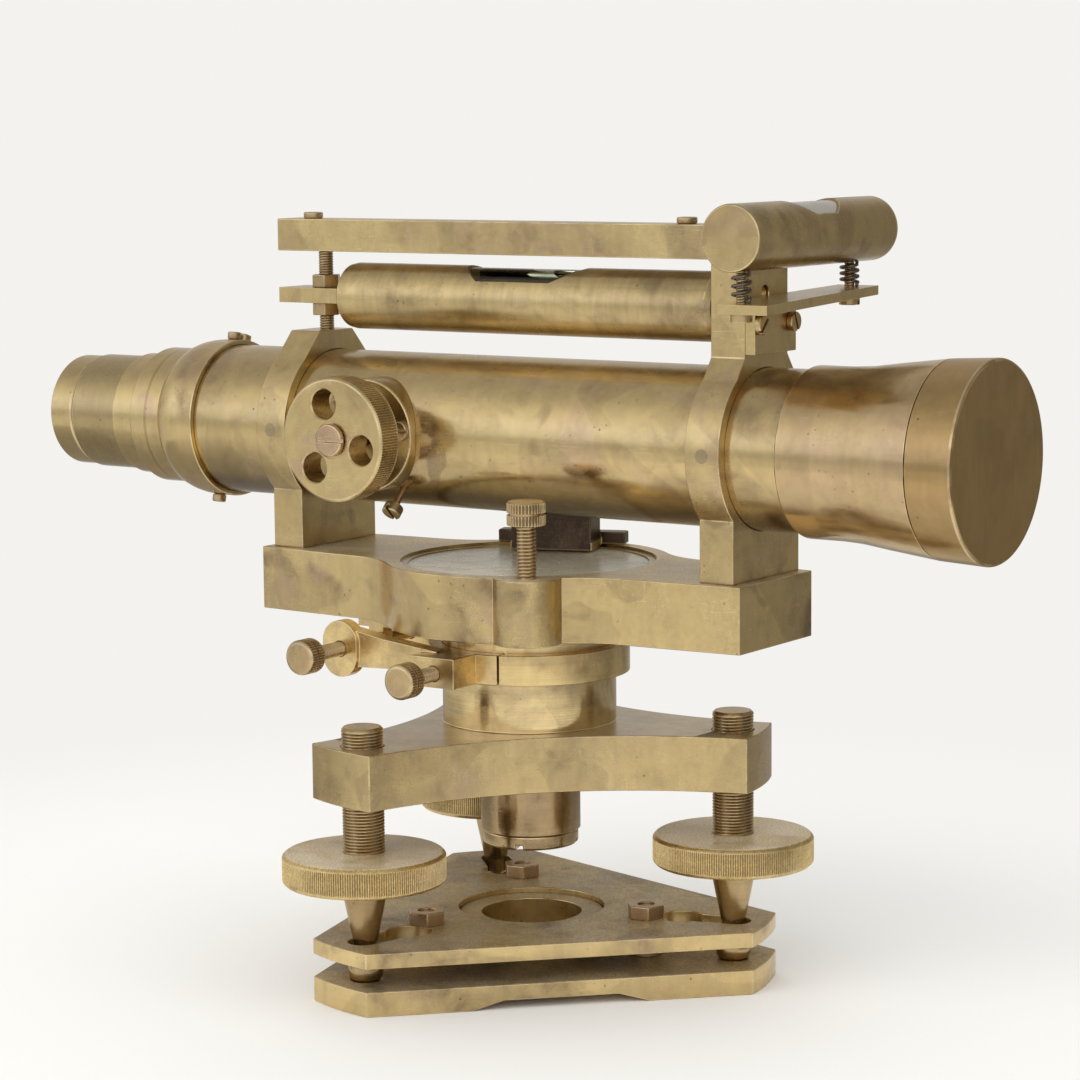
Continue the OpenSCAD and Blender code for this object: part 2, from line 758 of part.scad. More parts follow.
module dust_cap() {
    color(brass) along_x(0) rotate_extrude($fn = 128) polygon([
        [0, cap_x + cap_t], [cap_r - 0.5, cap_x + cap_t], [cap_r, cap_x + cap_t - 0.5],
        [flare_r, cap_x + 0.1], [hood_bore - run, cap_x + 0.1], [hood_bore - run, cap_x - 6],
        [hood_bore - 1.6, cap_x - 6], [hood_bore - 1.6, cap_x + cap_t - 2], [0, cap_x + cap_t - 2]
    ]);
}

module eyepiece_mount() {
    front = tube_back + 2.5;
    color(brass) along_x(0) difference() {
        rotate_extrude($fn = 128) polygon([
            [eye_tube_r + run, -130.4], [eye_tube_r + 3.5, -130.4], [eye_tube_r + 3.8, -130.1],
            [eye_tube_r + 3.8, -122.6],
            [step_r - 0.3, -122.2], [step_r, -121.9], [step_r, collar_x - 0.2],
            [mount_r - 1.55, collar_x + 1.8], [mount_r - 0.75, collar_x + 4], [mount_r - 0.25, collar_x + 6.5], [mount_r, collar_x + 9.2],
            [mount_r, front - 0.3], [mount_r - 0.3, front], [tube_r + seat, front],
            [tube_r + seat, tube_back - 0.1], [bore_r, tube_back - 0.1], [bore_r, collar_x + 3],
            [eye_tube_r + run, collar_x + 3]
        ]);
        for (a = stop_angles) rotate([0, 0, a]) translate([-30, 0, stop_x])
            rotate([0, 90, 0]) cylinder(r = 1.1 + seat, h = 15);
    }
}

module diaphragm() {
    color(dull) along_x(stop_x - 2) difference() {
        cylinder(r = 16.5, h = 3.8, $fn = 96);
        translate([0, 0, -1]) cylinder(r = 9, h = 6);
        for (a = stop_angles) rotate([0, 0, a]) translate([-20, 0, 2])
            rotate([0, 90, 0]) cylinder(r = 1.1 + seat, h = 8);
    }
}

module diaphragm_screws() {
    color(pale) along_x(stop_x) for (a = stop_angles) rotate([0, 0, a])
        translate([-mount_r, 0, 0]) rotate([0, -90, 0]) cheese_screw(1.9, 2.1, 1.1, 8, 0.6);
}

module eyepiece_tube() {
    color(brass) along_x(0) rotate_extrude($fn = 128) polygon([
        [eye_tube_r - 1.4, -112], [eye_tube_r, -112], [eye_tube_r, -130.7],
        [eye_r + 0.5, -130.7], [eye_r + 0.5, -146.5], [eye_r - 0.1, -146.9], [eye_r, -147.5],
        [eye_r, 0.8 - eye_x], [eye_r - 0.8, -eye_x], [6, -eye_x], [4.2, 2.4 - eye_x],
        [4.2, 4 - eye_x], [eye_tube_r - 1.4, 4 - eye_x]
    ]);
}

module eyepiece_lenses() {
    r = eye_tube_r - 1.4 - seat;
    color(glass) for (x = [4.4 - eye_x, -122]) along_x(x)
        rotate_extrude($fn = 96) polygon([[0, 0], [r, 0], [r, 1.6], [r * 0.6, 3], [0, 3.6]]);
}

module level_stud() {
    color(dull) translate([-stud_x, 0, ring_top - 3.9])
        cylinder(r = level_stud_r, h = post_top + 3.9 - ring_top + 3.9);
}

module level_nuts() {
    color(dull) translate([-stud_x, 0, level_z]) difference() {
        for (z = [tongue_h / 2 + run, -tongue_h / 2 - run - 3.4]) translate([0, 0, z])
            cylinder(r = level_nut_r, h = 3.4, $fn = 6);
        translate([0, 0, -10]) cylinder(r = level_stud_r + run, h = 20);
    }
}

module level_tube() {
    color(brass) difference() {
        union() {
            translate([0, 0, level_z - scope_z]) along_x(0) rotate_extrude($fn = 96) polygon([
                [0, -level_back - 6.1], [2.2, -level_back - 6.1], [3.6, -level_back - 5],
                [5.4, -level_back - 3.8], [7.5, -level_back - 2.6], [level_r - 0.3, -level_back - 1.5],
                [level_r - 0.3, -level_back], [level_r, -level_back], [level_r, level_front],
                [level_r - 0.8, level_front + 1.6], [level_pin_r + 3, level_front + 2.8],
                [level_pin_r, level_front + 2.8], [level_pin_r, post_face - 2],
                [0, post_face - 2]
            ]);
            translate([-78, -6, level_z - tongue_h / 2]) cube([78 - level_back - 3, 12, tongue_h]);
        }
        translate([0, 0, level_z - scope_z]) along_x(3 - level_back)
            cylinder(r = level_bore, h = level_front + level_back - 6);
        translate([0, 20, level_z]) rotate([90, 0, 0]) linear_extrude(height = 40)
            polygon([[-17.5, level_r + 0.1], [-11, 5.2], [12, 5.2], [20.5, level_r + 0.1]]);
        translate([-stud_x, 0, level_z - 10]) cylinder(r = level_stud_r + 0.5, h = 20);
    }
}

module level_vial() {
    color(glass) translate([0, 0, level_z - scope_z]) along_x(5 - level_back)
        disc(vial_r, level_front + level_back - 10, 2);
}

module stay_bar() {
    color(brass) difference() {
        translate([bar_back, -bar_w / 2, post_top]) cube([bar_front - bar_back, bar_w, bar_h]);
        translate([-stud_x, 0, post_top - 1]) cylinder(r = level_stud_r + seat, h = 5);
        for (x = bar_screws) translate([x, 0, bar_top - 4]) cylinder(r = 1.3 + seat, h = 5);
    }
}

bar_screws = [-70.3, 49.7];

module stay_bar_screws() {
    color(dull) for (x = bar_screws) translate([x, 0, bar_top]) cheese_screw(2.65, 1.7, 1.3, 3.9, 0.8);
}

// Height of the strip's top at a distance y behind the vertical axis
function strip_z(y) = strip_top + (y - spring_front) * strip_rise;

module cross_bracket() {
    plate_z = strip_top - 13.6;
    color(brass) difference() {
        union() {
            intersection() {
                translate([0, 0, strip_top - 6]) linear_extrude(height = 12) polygon([
                    [cross_x - 4, -27.5], [cross_x + 10, -27.5], [cross_x + 5.6, 36.5],
                    [post_face, 36.5], [post_face, -8]
                ]);
                translate([post_face - 5, 0, 0]) rotate([90, 0, 90]) linear_extrude(height = 30)
                    polygon([
                        [-30, strip_z(-30) - strip_t], [40, strip_z(40) - strip_t],
                        [40, strip_z(40)], [-30, strip_z(-30)]
                    ]);
            }
            translate([post_face, -10.4, plate_z]) cube([2.8, 20.2, strip_top - 1 - plate_z]);
        }
        for (y = [spring_front, spring_rear]) translate([cross_x, y, strip_top - 6])
            cylinder(r = cross_screw_r + run, h = 12);
        for (t = [-1, 1]) translate([post_face - 1, t * 7.8 - 0.6, strip_top - 6.2]) rotate([0, 90, 0])
            cylinder(r = 1.3 + seat, h = 6);
    }
}

module bracket_screws() {
    color(pale) for (t = [-1, 1]) translate([post_face + 2.8, t * 7.8 - 0.6, strip_top - 6.2])
        rotate([0, 90, 0]) rotate([0, 0, t < 0 ? -42 : 20]) cheese_screw(2.5, 1.8, 1.3, 7);
}

module cross_screws() {
    color(dull) for (y = [spring_front, spring_rear])
        translate([cross_x, y, strip_z(y) - strip_t - 0.06]) rotate([180, 0, 0])
            cheese_screw(2.7, 2.2, cross_screw_r, cross_z - 7.4 - strip_z(y) + strip_t);
}

module cross_tube() {
    color(brass) difference() {
        along_y([cross_x, cross_front, cross_z]) disc(cross_r, cross_l, 0.3, $fn = 96);
        along_y([cross_x, cross_front + 2.4, cross_z]) cylinder(r = cross_bore, h = cross_l - 4.8);
        translate([cross_x - 20, 0, cross_z]) rotate([90, 0, 90]) linear_extrude(height = 40)
            polygon([[-4, cross_r + 0.1], [3, 4.9], [13, 4.9], [21, cross_r + 0.1]]);
        for (y = [spring_front, spring_rear]) translate([cross_x, y, cross_z - cross_r - 1])
            cylinder(r = cross_screw_r + run, h = 4);
    }
}

module cross_vial() {
    color(glass) along_y([cross_x, cross_front + 3.5, cross_z]) disc(cross_bore - air, cross_l - 7, 2);
}

// An open coil spring as one tube: it starts and ends upright for one wire diameter
function spring_path(low, high, n) =
    let (d = 2 * wire_r, rise = high - low - 2 * d)
    concat(
        [[spring_r, 0, low]],
        [for (k = [0:8 * n]) let (a = 360 * k / 8)
            [spring_r * cos(a), spring_r * sin(a), low + d + rise * k / (8 * n)]],
        [[spring_r, 0, high]]
    );
function unit(v) = v / norm(v);
function spring_tangent(p, k) =
    k == 0 || k == len(p) - 1 ? [0, 0, 1]
    : k == 1 || k == len(p) - 2 ? unit([0, 0.6, 1])
    : unit(p[k + 1] - p[k - 1]);
function spring_ring(p, k) =
    let (t = spring_tangent(p, k), n0 = unit([p[k][0], p[k][1], 0]),
         b = unit(cross(t, n0)), n = cross(b, t))
    [for (s = [0:5]) p[k] + wire_r * (cos(60 * s) * n + sin(60 * s) * b)];

module spring(y, n) {
    p = spring_path(strip_z(y) + 0.06, spring_head, n);
    rings = len(p);
    points = [for (k = [0:rings - 1]) each spring_ring(p, k)];
    sides = [for (k = [0:rings - 2], s = [0:5])
        let (a = 6 * k + s, b = 6 * k + (s + 1) % 6)
        each [[a, b + 6, b], [a, a + 6, b + 6]]];
    caps = concat(
        [for (s = [1:4]) [0, s, s + 1]],
        [for (s = [1:4]) let (e = 6 * (rings - 1)) [e, e + s + 1, e + s]]
    );
    color(steel) translate([cross_x, y, 0]) polyhedron(points = points, faces = concat(sides, caps));
}

// Least gap between curls that lie more than half a turn apart
function least_gap(p) = min([for (i = [0:len(p) - 1], j = [0:len(p) - 1])
    if (j - i > 5) norm(p[i] - p[j])]) - 2 * wire_r;
spring_head = cross_z - cross_r * 0.966 - 0.05;
echo(least_gap_front = least_gap(spring_path(strip_z(spring_front) + 0.06, spring_head, curls_front)),
     least_gap_rear = least_gap(spring_path(strip_z(spring_rear) + 0.06, spring_head, curls_rear)));

module cross_spring_front() spring(spring_front, curls_front);
module cross_spring_rear() spring(spring_rear, curls_rear);

base_plate();
locking_plate();
trivet_studs();
trivet_nuts();
tribrach();
bearing_sleeve();
sleeve_nut();
foot_screw_left();
foot_knob_left();
foot_screw_right();
foot_knob_right();
foot_screw_rear();
foot_knob_rear();
spindle();
limb();
compass_dial();
compass_needle();
compass_glass();
glass_ring();
needle_lift_screw();
limb_tongue();
clamp_collar();
clamp_pad();
clamp_screw();
tangent_screw();
plunger();
support_rear();
support_front();
support_screws();
main_tube();
rear_bracket();
draw_tube();
focus_rack();
focus_pinion();
pinion_housing();
housing_screws();
focus_knob();
knob_screw();
friction_screw();
objective_hood();
objective_lens();
dust_cap();
eyepiece_mount();
diaphragm();
diaphragm_screws();
eyepiece_tube();
eyepiece_lenses();
level_stud();
level_nuts();
level_tube();
level_vial();
stay_bar();
stay_bar_screws();
cross_bracket();
bracket_screws();
cross_screws();
cross_tube();
cross_vial();
cross_spring_front();
cross_spring_rear();
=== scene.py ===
"""Looks for an antique brass surveying level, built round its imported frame.

Sizes in this file are in millimetres unless they say otherwise. Every piece is made where it stands.
"""
import json
import math

import bmesh
import bpy
import numpy as np
from bpy.props import FloatProperty, FloatVectorProperty, IntProperty, PointerProperty
from mathutils import Matrix, Vector


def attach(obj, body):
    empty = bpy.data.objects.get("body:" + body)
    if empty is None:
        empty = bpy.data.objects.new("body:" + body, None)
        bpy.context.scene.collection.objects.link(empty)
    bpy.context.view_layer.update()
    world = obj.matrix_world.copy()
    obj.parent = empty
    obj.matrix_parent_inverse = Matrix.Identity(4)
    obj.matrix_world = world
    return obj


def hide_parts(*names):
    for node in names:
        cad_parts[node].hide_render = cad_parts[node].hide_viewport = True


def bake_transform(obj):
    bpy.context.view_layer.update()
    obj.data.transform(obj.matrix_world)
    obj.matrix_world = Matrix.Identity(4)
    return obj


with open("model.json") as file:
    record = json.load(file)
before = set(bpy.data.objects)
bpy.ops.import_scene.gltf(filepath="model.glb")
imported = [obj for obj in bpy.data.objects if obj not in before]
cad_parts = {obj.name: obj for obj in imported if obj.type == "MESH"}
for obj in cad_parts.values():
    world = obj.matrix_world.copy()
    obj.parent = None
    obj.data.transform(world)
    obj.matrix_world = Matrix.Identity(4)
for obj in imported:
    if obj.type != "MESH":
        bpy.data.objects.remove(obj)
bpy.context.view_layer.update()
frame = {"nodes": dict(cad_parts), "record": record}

bl_info = {
    "name": "Brass Surveying Level",
    "version": (1, 0, 0),
    "blender": (4, 5, 0),
    "location": "3D View > Sidebar > Level",
    "description": "Builds the pieces, finishes and stage of an antique brass surveying level",
    "category": "Object",
}

MM = 0.001
BODIES = {node: body for body, nodes in frame["record"]["behaviour"]["bodies"].items() for node in nodes}
X, Y, Z = (1, 0, 0), (0, 1, 0), (0, 0, 1)
MIDDLE = (0, 0, 0)
SAME_POINT = 0.015 * MM

# The places that the pieces share with the frame
SCOPE_Z = 143.2
SCOPE = (0, 0, SCOPE_Z)
LEVEL_Z = 178.5
CROSS_X, CROSS_Z = 79.125, 197.0
FOCUS = (-36.2, -37.2, 143.3)
FEET = {"rear": 135.0, "right": 15.0, "left": 255.0}
FEET_RADIUS = 56.2
LIFT = (20.914, -31.006)
STUD_X = -66.2
SPRINGS = {"front": -22.6, "rear": 31.2}


# ---------------------------------------------------------------- sizes and colours

def distance(name, description, default):
    return FloatProperty(name=name, description=description, default=default * MM, min=0.05 * MM, max=2 * MM,
                         subtype="DISTANCE", unit="LENGTH", precision=5)


def number(name, description, default):
    return IntProperty(name=name, description=description, default=default, min=20, max=300)


def tint(name, description, default):
    return FloatVectorProperty(name=name, description=description, default=default, size=3, min=0.0, max=1.0,
                               subtype="COLOR")


class LevelSizes(bpy.types.PropertyGroup):
    """Small sizes that the frame leaves to the finish"""
    worn_edge: distance("Worn edge", "Width of the rounding on a filed edge", 0.2)
    foot_pitch: distance("Foot screw pitch", "Distance between two threads of a foot screw", 0.82)
    fine_pitch: distance("Fine pitch", "Distance between two threads of the small screws", 0.7)
    lift_pitch: distance("Lift screw pitch", "Distance between two threads of the needle's lift screw", 0.92)
    foot_milling: number("Foot head milling", "Number of cuts round the milled head of a foot screw", 216)
    focus_milling: number("Focus head milling", "Number of cuts round the focusing head", 144)
    thumb_milling: number("Thumb screw milling", "Number of cuts round a small milled head", 44)


class LevelFinishes(bpy.types.PropertyGroup):
    """Colours of the finishes"""
    brass: tint("Brass", "Rubbed brass, as on the tubes", (0.63, 0.472, 0.208))
    brass_dark: tint("Tarnish", "The brown that darkens old brass", (0.22, 0.142, 0.066))
    brass_warm: tint("Copper bloom", "The pinkish bloom where zinc has gone", (0.58, 0.40, 0.25))
    # Bare brass in scratches; on rounded edge strips, crests and ridges rubbed metal with painted highlight; a painted
    # highlight band on an eyepiece step; a light band at the cross tube's far rim.
    bright: tint("Rubbed edge", "Bare brass on a worn edge", (0.80, 0.65, 0.38))
    # Soiling in pits and seams; painted shade on faces that look down, on the block behind the compass and in a line
    # low on each telescope ring; soiling with painted shade in roots and threads.
    grime: tint("Grime", "Dirt in threads and corners", (0.075, 0.045, 0.025))
    dust: tint("Dust", "Dust that lies on what faces up", (0.36, 0.30, 0.215))
    soot: tint("Dark dust", "The darker dust on the tribrach", (0.20, 0.155, 0.105))
    pale: tint("Pale dust", "The sandy dust on the heads and the limb", (0.66, 0.575, 0.44))
    bronze: tint("Bronzed brass", "The even brown of the dust cap", (0.46, 0.305, 0.125))
    screw: tint("Screw brass", "The redder brass of the screws", (0.58, 0.415, 0.20))
    polished: tint("Turned bare", "The bare metal of the hub", (0.80, 0.62, 0.30))
    steel: tint("Steel", "Blued steel of the springs", (0.17, 0.15, 0.13))
    silver: tint("Silvered dial", "Silvered face of the compass", (0.52, 0.52, 0.49))
    spirit: tint("Spirit", "The spirit in the vials", (0.62, 0.68, 0.52))


# ---------------------------------------------------------------- node trees

class Net:
    """A node tree, with short ways to add what the finishes use. A value is a number, a colour, a vector or a socket."""

    def __init__(self, tree):
        self.tree = tree

    def join(self, value, socket):
        if isinstance(value, bpy.types.NodeSocket):
            self.tree.links.new(value, socket)
        elif isinstance(value, tuple) and len(value) == 3 and socket.type == "RGBA":
            socket.default_value = (*value, 1.0)
        else:
            socket.default_value = value

    def feed(self, node, values):
        for key, value in values.items():
            self.join(value, node.inputs[key])
        return node

    def put(self, kind, inputs=None, **settings):
        node = self.tree.nodes.new("ShaderNode" + kind)
        for key, value in settings.items():
            setattr(node, key, value)
        return self.feed(node, inputs or {})

    def maths(self, operation, *values, clamp=False):
        return self.put("Math", dict(enumerate(values)), operation=operation, use_clamp=clamp).outputs[0]

    def times(self, one, two, clamp=False):
        return self.maths("MULTIPLY", one, two, clamp=clamp)

    def plus(self, one, two):
        return self.maths("ADD", one, two)

    def minus(self, one, two, clamp=False):
        return self.maths("SUBTRACT", one, two, clamp=clamp)

    def most(self, one, two):
        return self.maths("MAXIMUM", one, two)

    def off(self, one, two):
        """How far one number is from another."""
        return self.maths("ABSOLUTE", self.minus(one, two))

    def vectors(self, operation, *values):
        node = self.put("VectorMath", dict(enumerate(values)), operation=operation)
        return node.outputs["Value" if operation in ("DOT_PRODUCT", "LENGTH") else "Vector"]

    def between(self, value, low, high, to_low=0.0, to_high=1.0, smooth=True):
        return self.put("MapRange", {"Value": value, "From Min": low, "From Max": high, "To Min": to_low, "To Max": to_high},
                        interpolation_type="SMOOTHSTEP" if smooth else "LINEAR").outputs["Result"]

    def noise(self, vector, scale, detail=3.0, rough=0.55, distortion=0.0):
        return self.put("TexNoise", {"Vector": vector, "Scale": scale, "Detail": detail, "Roughness": rough,
                                     "Distortion": distortion}).outputs["Fac"]

    def mix(self, share, one, two, mode="MIX"):
        return self.put("Mix", {"Factor": share, 6: one, 7: two}, data_type="RGBA", blend_type=mode).outputs[2]

    def shade(self, colour, grey):
        """The colour made lighter or darker by a number."""
        grey = self.put("CombineColor", {"Red": grey, "Green": grey, "Blue": grey}).outputs[0]
        return self.mix(1.0, colour, grey, "MULTIPLY")

    def split(self, vector):
        return self.put("SeparateXYZ", {0: vector}).outputs

    def bump(self, shader, height, strength, depth):
        relief = self.put("Bump", {"Height": height, "Strength": strength, "Distance": depth * MM})
        self.join(relief.outputs["Normal"], shader.inputs["Normal"])


def group(name, inputs, outputs):
    """An empty node group: its net, its input sockets and its output sockets."""
    tree = bpy.data.node_groups.new(name, "ShaderNodeTree")
    for label, kind, default in inputs:
        socket = tree.interface.new_socket(label, in_out="INPUT", socket_type="NodeSocket" + kind)
        if default is not None:
            socket.default_value = (*default, 1.0) if kind == "Color" else default
    for label, kind in outputs:
        tree.interface.new_socket(label, in_out="OUTPUT", socket_type="NodeSocket" + kind)
    return Net(tree), tree.nodes.new("NodeGroupInput").outputs, tree.nodes.new("NodeGroupOutput").inputs


def make_tarnish():
    """Old brass: patches of brown tarnish, copper bloom and small stains over the clean colour."""
    net, came, out = group("Tarnish", [
        ("Vector", "Vector", None), ("Clean", "Color", (0.6, 0.46, 0.25)), ("Brown", "Color", (0.3, 0.2, 0.1)),
        ("Bloom", "Color", (0.6, 0.4, 0.27)), ("Brown Share", "Float", 0.4), ("Bloom Share", "Float", 0.2),
        ("Stain Share", "Float", 0.3), ("Shift", "Float", 0.0),
    ], [("Color", "Color"), ("Tarnish", "Float")])
    here = net.vectors("ADD", came["Vector"], net.put("CombineXYZ", {"X": came["Shift"], "Y": came["Shift"]}).outputs[0])
    patches = net.between(net.noise(here, 19.0, 2.0, 0.5, 0.7), 0.49, 0.58)
    mottle = net.noise(here, 105.0, 4.0, 0.62, 0.5)
    brown = net.times(came["Brown Share"], net.plus(
        net.times(patches, net.between(mottle, 0.35, 0.65, 0.40, 0.95)),
        net.between(mottle, 0.52, 0.72, 0.0, 0.45)), clamp=True)
    clouds = net.between(net.noise(here, 33.0, 3.0, 0.6, 0.9), 0.52, 0.62)
    bloom = net.times(came["Bloom Share"], net.times(clouds, net.between(mottle, 0.34, 0.60)), clamp=True)
    drops = net.noise(net.vectors("ADD", here, (0.31, 0.17, 0.05)), 60.0, 2.0, 0.5, 0.4)
    stain = net.times(came["Stain Share"], net.between(drops, 0.665, 0.72), clamp=True)
    film = net.between(net.noise(net.vectors("ADD", here, (0.71, 0.29, 0.43)), 24.0, 2.0, 0.4, 1.1), 0.525, 0.54)
    film = net.times(film, net.times(came["Brown Share"], net.between(mottle, 0.3, 0.7, 0.22, 0.48)))
    colour = came["Clean"]
    for share, tone in ((brown, "Brown"), (film, "Brown"), (bloom, "Bloom"), (net.times(stain, 0.62), "Brown")):
        colour = net.mix(share, colour, came[tone])
    streaks = net.noise(net.vectors("MULTIPLY", here, (1.0, 1.6, 0.35)), 240.0, 2.0, 0.6, 0.2)
    colour = net.shade(colour, net.between(streaks, 0.3, 0.7, 0.93, 1.05, smooth=False))
    net.join(colour, out["Color"])
    net.join(net.most(brown, stain), out["Tarnish"])
    return net.tree


def make_lathe_marks():
    """Fine rings left by the lathe, round any axis: a height, and bands of lighter and darker turns."""
    net, came, out = group("Lathe Marks", [
        ("Vector", "Vector", None), ("Origin", "Vector", MIDDLE), ("Axis", "Vector", Z), ("Spacing", "Float", 0.0003),
    ], [("Height", "Float"), ("Bands", "Float")])
    offset = net.vectors("SUBTRACT", came["Vector"], came["Origin"])
    along = net.vectors("DOT_PRODUCT", offset, came["Axis"])
    scaled = net.put("VectorMath", {0: came["Axis"], "Scale": along}, operation="SCALE").outputs["Vector"]
    outward = net.vectors("SUBTRACT", offset, scaled)
    x, y, z = net.split(net.vectors("NORMALIZE", outward))
    lines = net.put("CombineXYZ", {
        "X": net.maths("DIVIDE", along, came["Spacing"]),
        "Y": net.maths("DIVIDE", net.vectors("LENGTH", outward), came["Spacing"]),
        "Z": net.times(net.plus(x, net.plus(y, z)), 0.35),
    }).outputs[0]
    net.join(net.noise(lines, 1.0, 2.0, 0.7), out["Height"])
    net.join(net.noise(net.vectors("MULTIPLY", lines, (0.16, 0.16, 1.0)), 1.0, 3.0, 0.6), out["Bands"])
    return net.tree


def make_scratches():
    """Thin scratches in three directions, gathered in places."""
    net, came, out = group("Scratches", [("Vector", "Vector", None), ("Share", "Float", 0.5)], [("Mask", "Float")])
    total = None
    gathered = net.between(net.noise(came["Vector"], 70.0, 2.0), 0.46, 0.62)
    directions = (((0.4, 0.9, 0.3), (60.0, 2600.0, 2600.0)), ((1.3, 0.2, 2.1), (2300.0, 50.0, 2300.0)),
                  ((2.4, 1.5, 0.8), (2000.0, 2000.0, 70.0)))
    for k, (turn, stretch) in enumerate(directions):
        turned_to = net.put("Mapping", {"Vector": came["Vector"], "Rotation": turn, "Scale": stretch,
                                        "Location": (k * 3.1, k * 1.7, k * 5.3)}).outputs[0]
        line = net.minus(1.0, net.between(net.off(net.noise(turned_to, 1.0, 0.0, 0.5), 0.5), 0.0, 0.017))
        total = line if total is None else net.most(total, line)
    net.join(net.times(total, net.times(gathered, came["Share"])), out["Mask"])
    return net.tree


def make_pits():
    """Small dark pits of uneven size that gather in places, and a few pale specks of dust."""
    net, came, out = group("Pits", [("Vector", "Vector", None), ("Scale", "Float", 560.0), ("Share", "Float", 0.3)],
                           [("Pits", "Float"), ("Specks", "Float")])
    share = net.times(came["Share"], net.between(net.noise(came["Vector"], 42.0, 2.0, 0.6), 0.42, 0.66, 0.12, 1.0))
    for label, shift, size, grow in (("Pits", 0.0, 0.21, 1.0), ("Specks", 0.37, 0.12, 1.6)):
        cells = net.put("TexVoronoi", {"Vector": net.vectors("ADD", came["Vector"], (shift, shift, shift)),
                                       "Scale": net.times(came["Scale"], grow)})
        red, green, blue = net.put("SeparateColor", {0: cells.outputs["Color"]}).outputs[:3]
        dot = net.maths("DIVIDE", cells.outputs["Distance"], net.maths("MULTIPLY_ADD", green, size, 0.05))
        dot = net.times(net.minus(1.0, dot, clamp=True), 1.8, clamp=True)
        dot = net.times(dot, net.maths("MULTIPLY_ADD", blue, 0.7, 0.3))
        net.join(net.times(dot, net.maths("LESS_THAN", red, share)), out[label])
    return net.tree


def make_wear_and_shading():
    """What the mesh marks: lighter rounded edge strips and crests, rubbed metal with painted highlight, and darker
    roots and threads, soiling with painted shade.
    """
    net, came, out = group("WearAndShading", [("Vector", "Vector", None), ("Edge Share", "Float", 0.8), ("Grime Share", "Float", 0.8)],
                           [("RubbedAndHighlight", "Float"), ("Grime", "Float")])
    broken = net.between(net.noise(came["Vector"], 170.0, 2.0, 0.6), 0.36, 0.62, 0.12, 1.0)
    worn, grime = (net.put("Attribute", attribute_name=name, attribute_type="GEOMETRY").outputs["Fac"]
                   for name in ("worn", "grime"))
    net.join(net.times(net.times(worn, broken), came["Edge Share"], clamp=True), out["RubbedAndHighlight"])
    net.join(net.times(grime, came["Grime Share"], clamp=True), out["Grime"])
    return net.tree


def make_dust():
    """Dust that has settled on faces that look up."""
    net, came, out = group("Settled Dust", [("Vector", "Vector", None), ("Normal", "Vector", None), ("Share", "Float", 0.5)],
                           [("Mask", "Float")])
    lies = net.between(net.split(came["Normal"])["Z"], 0.72, 0.97)
    uneven = net.between(net.noise(came["Vector"], 85.0, 3.0, 0.65), 0.30, 0.66, 0.45, 1.0)
    grains = net.between(net.noise(came["Vector"], 1500.0, 2.0, 0.6), 0.40, 0.62, 0.72, 1.0)
    net.join(net.times(net.times(lies, uneven), net.times(grains, came["Share"]), clamp=True), out["Mask"])
    return net.tree


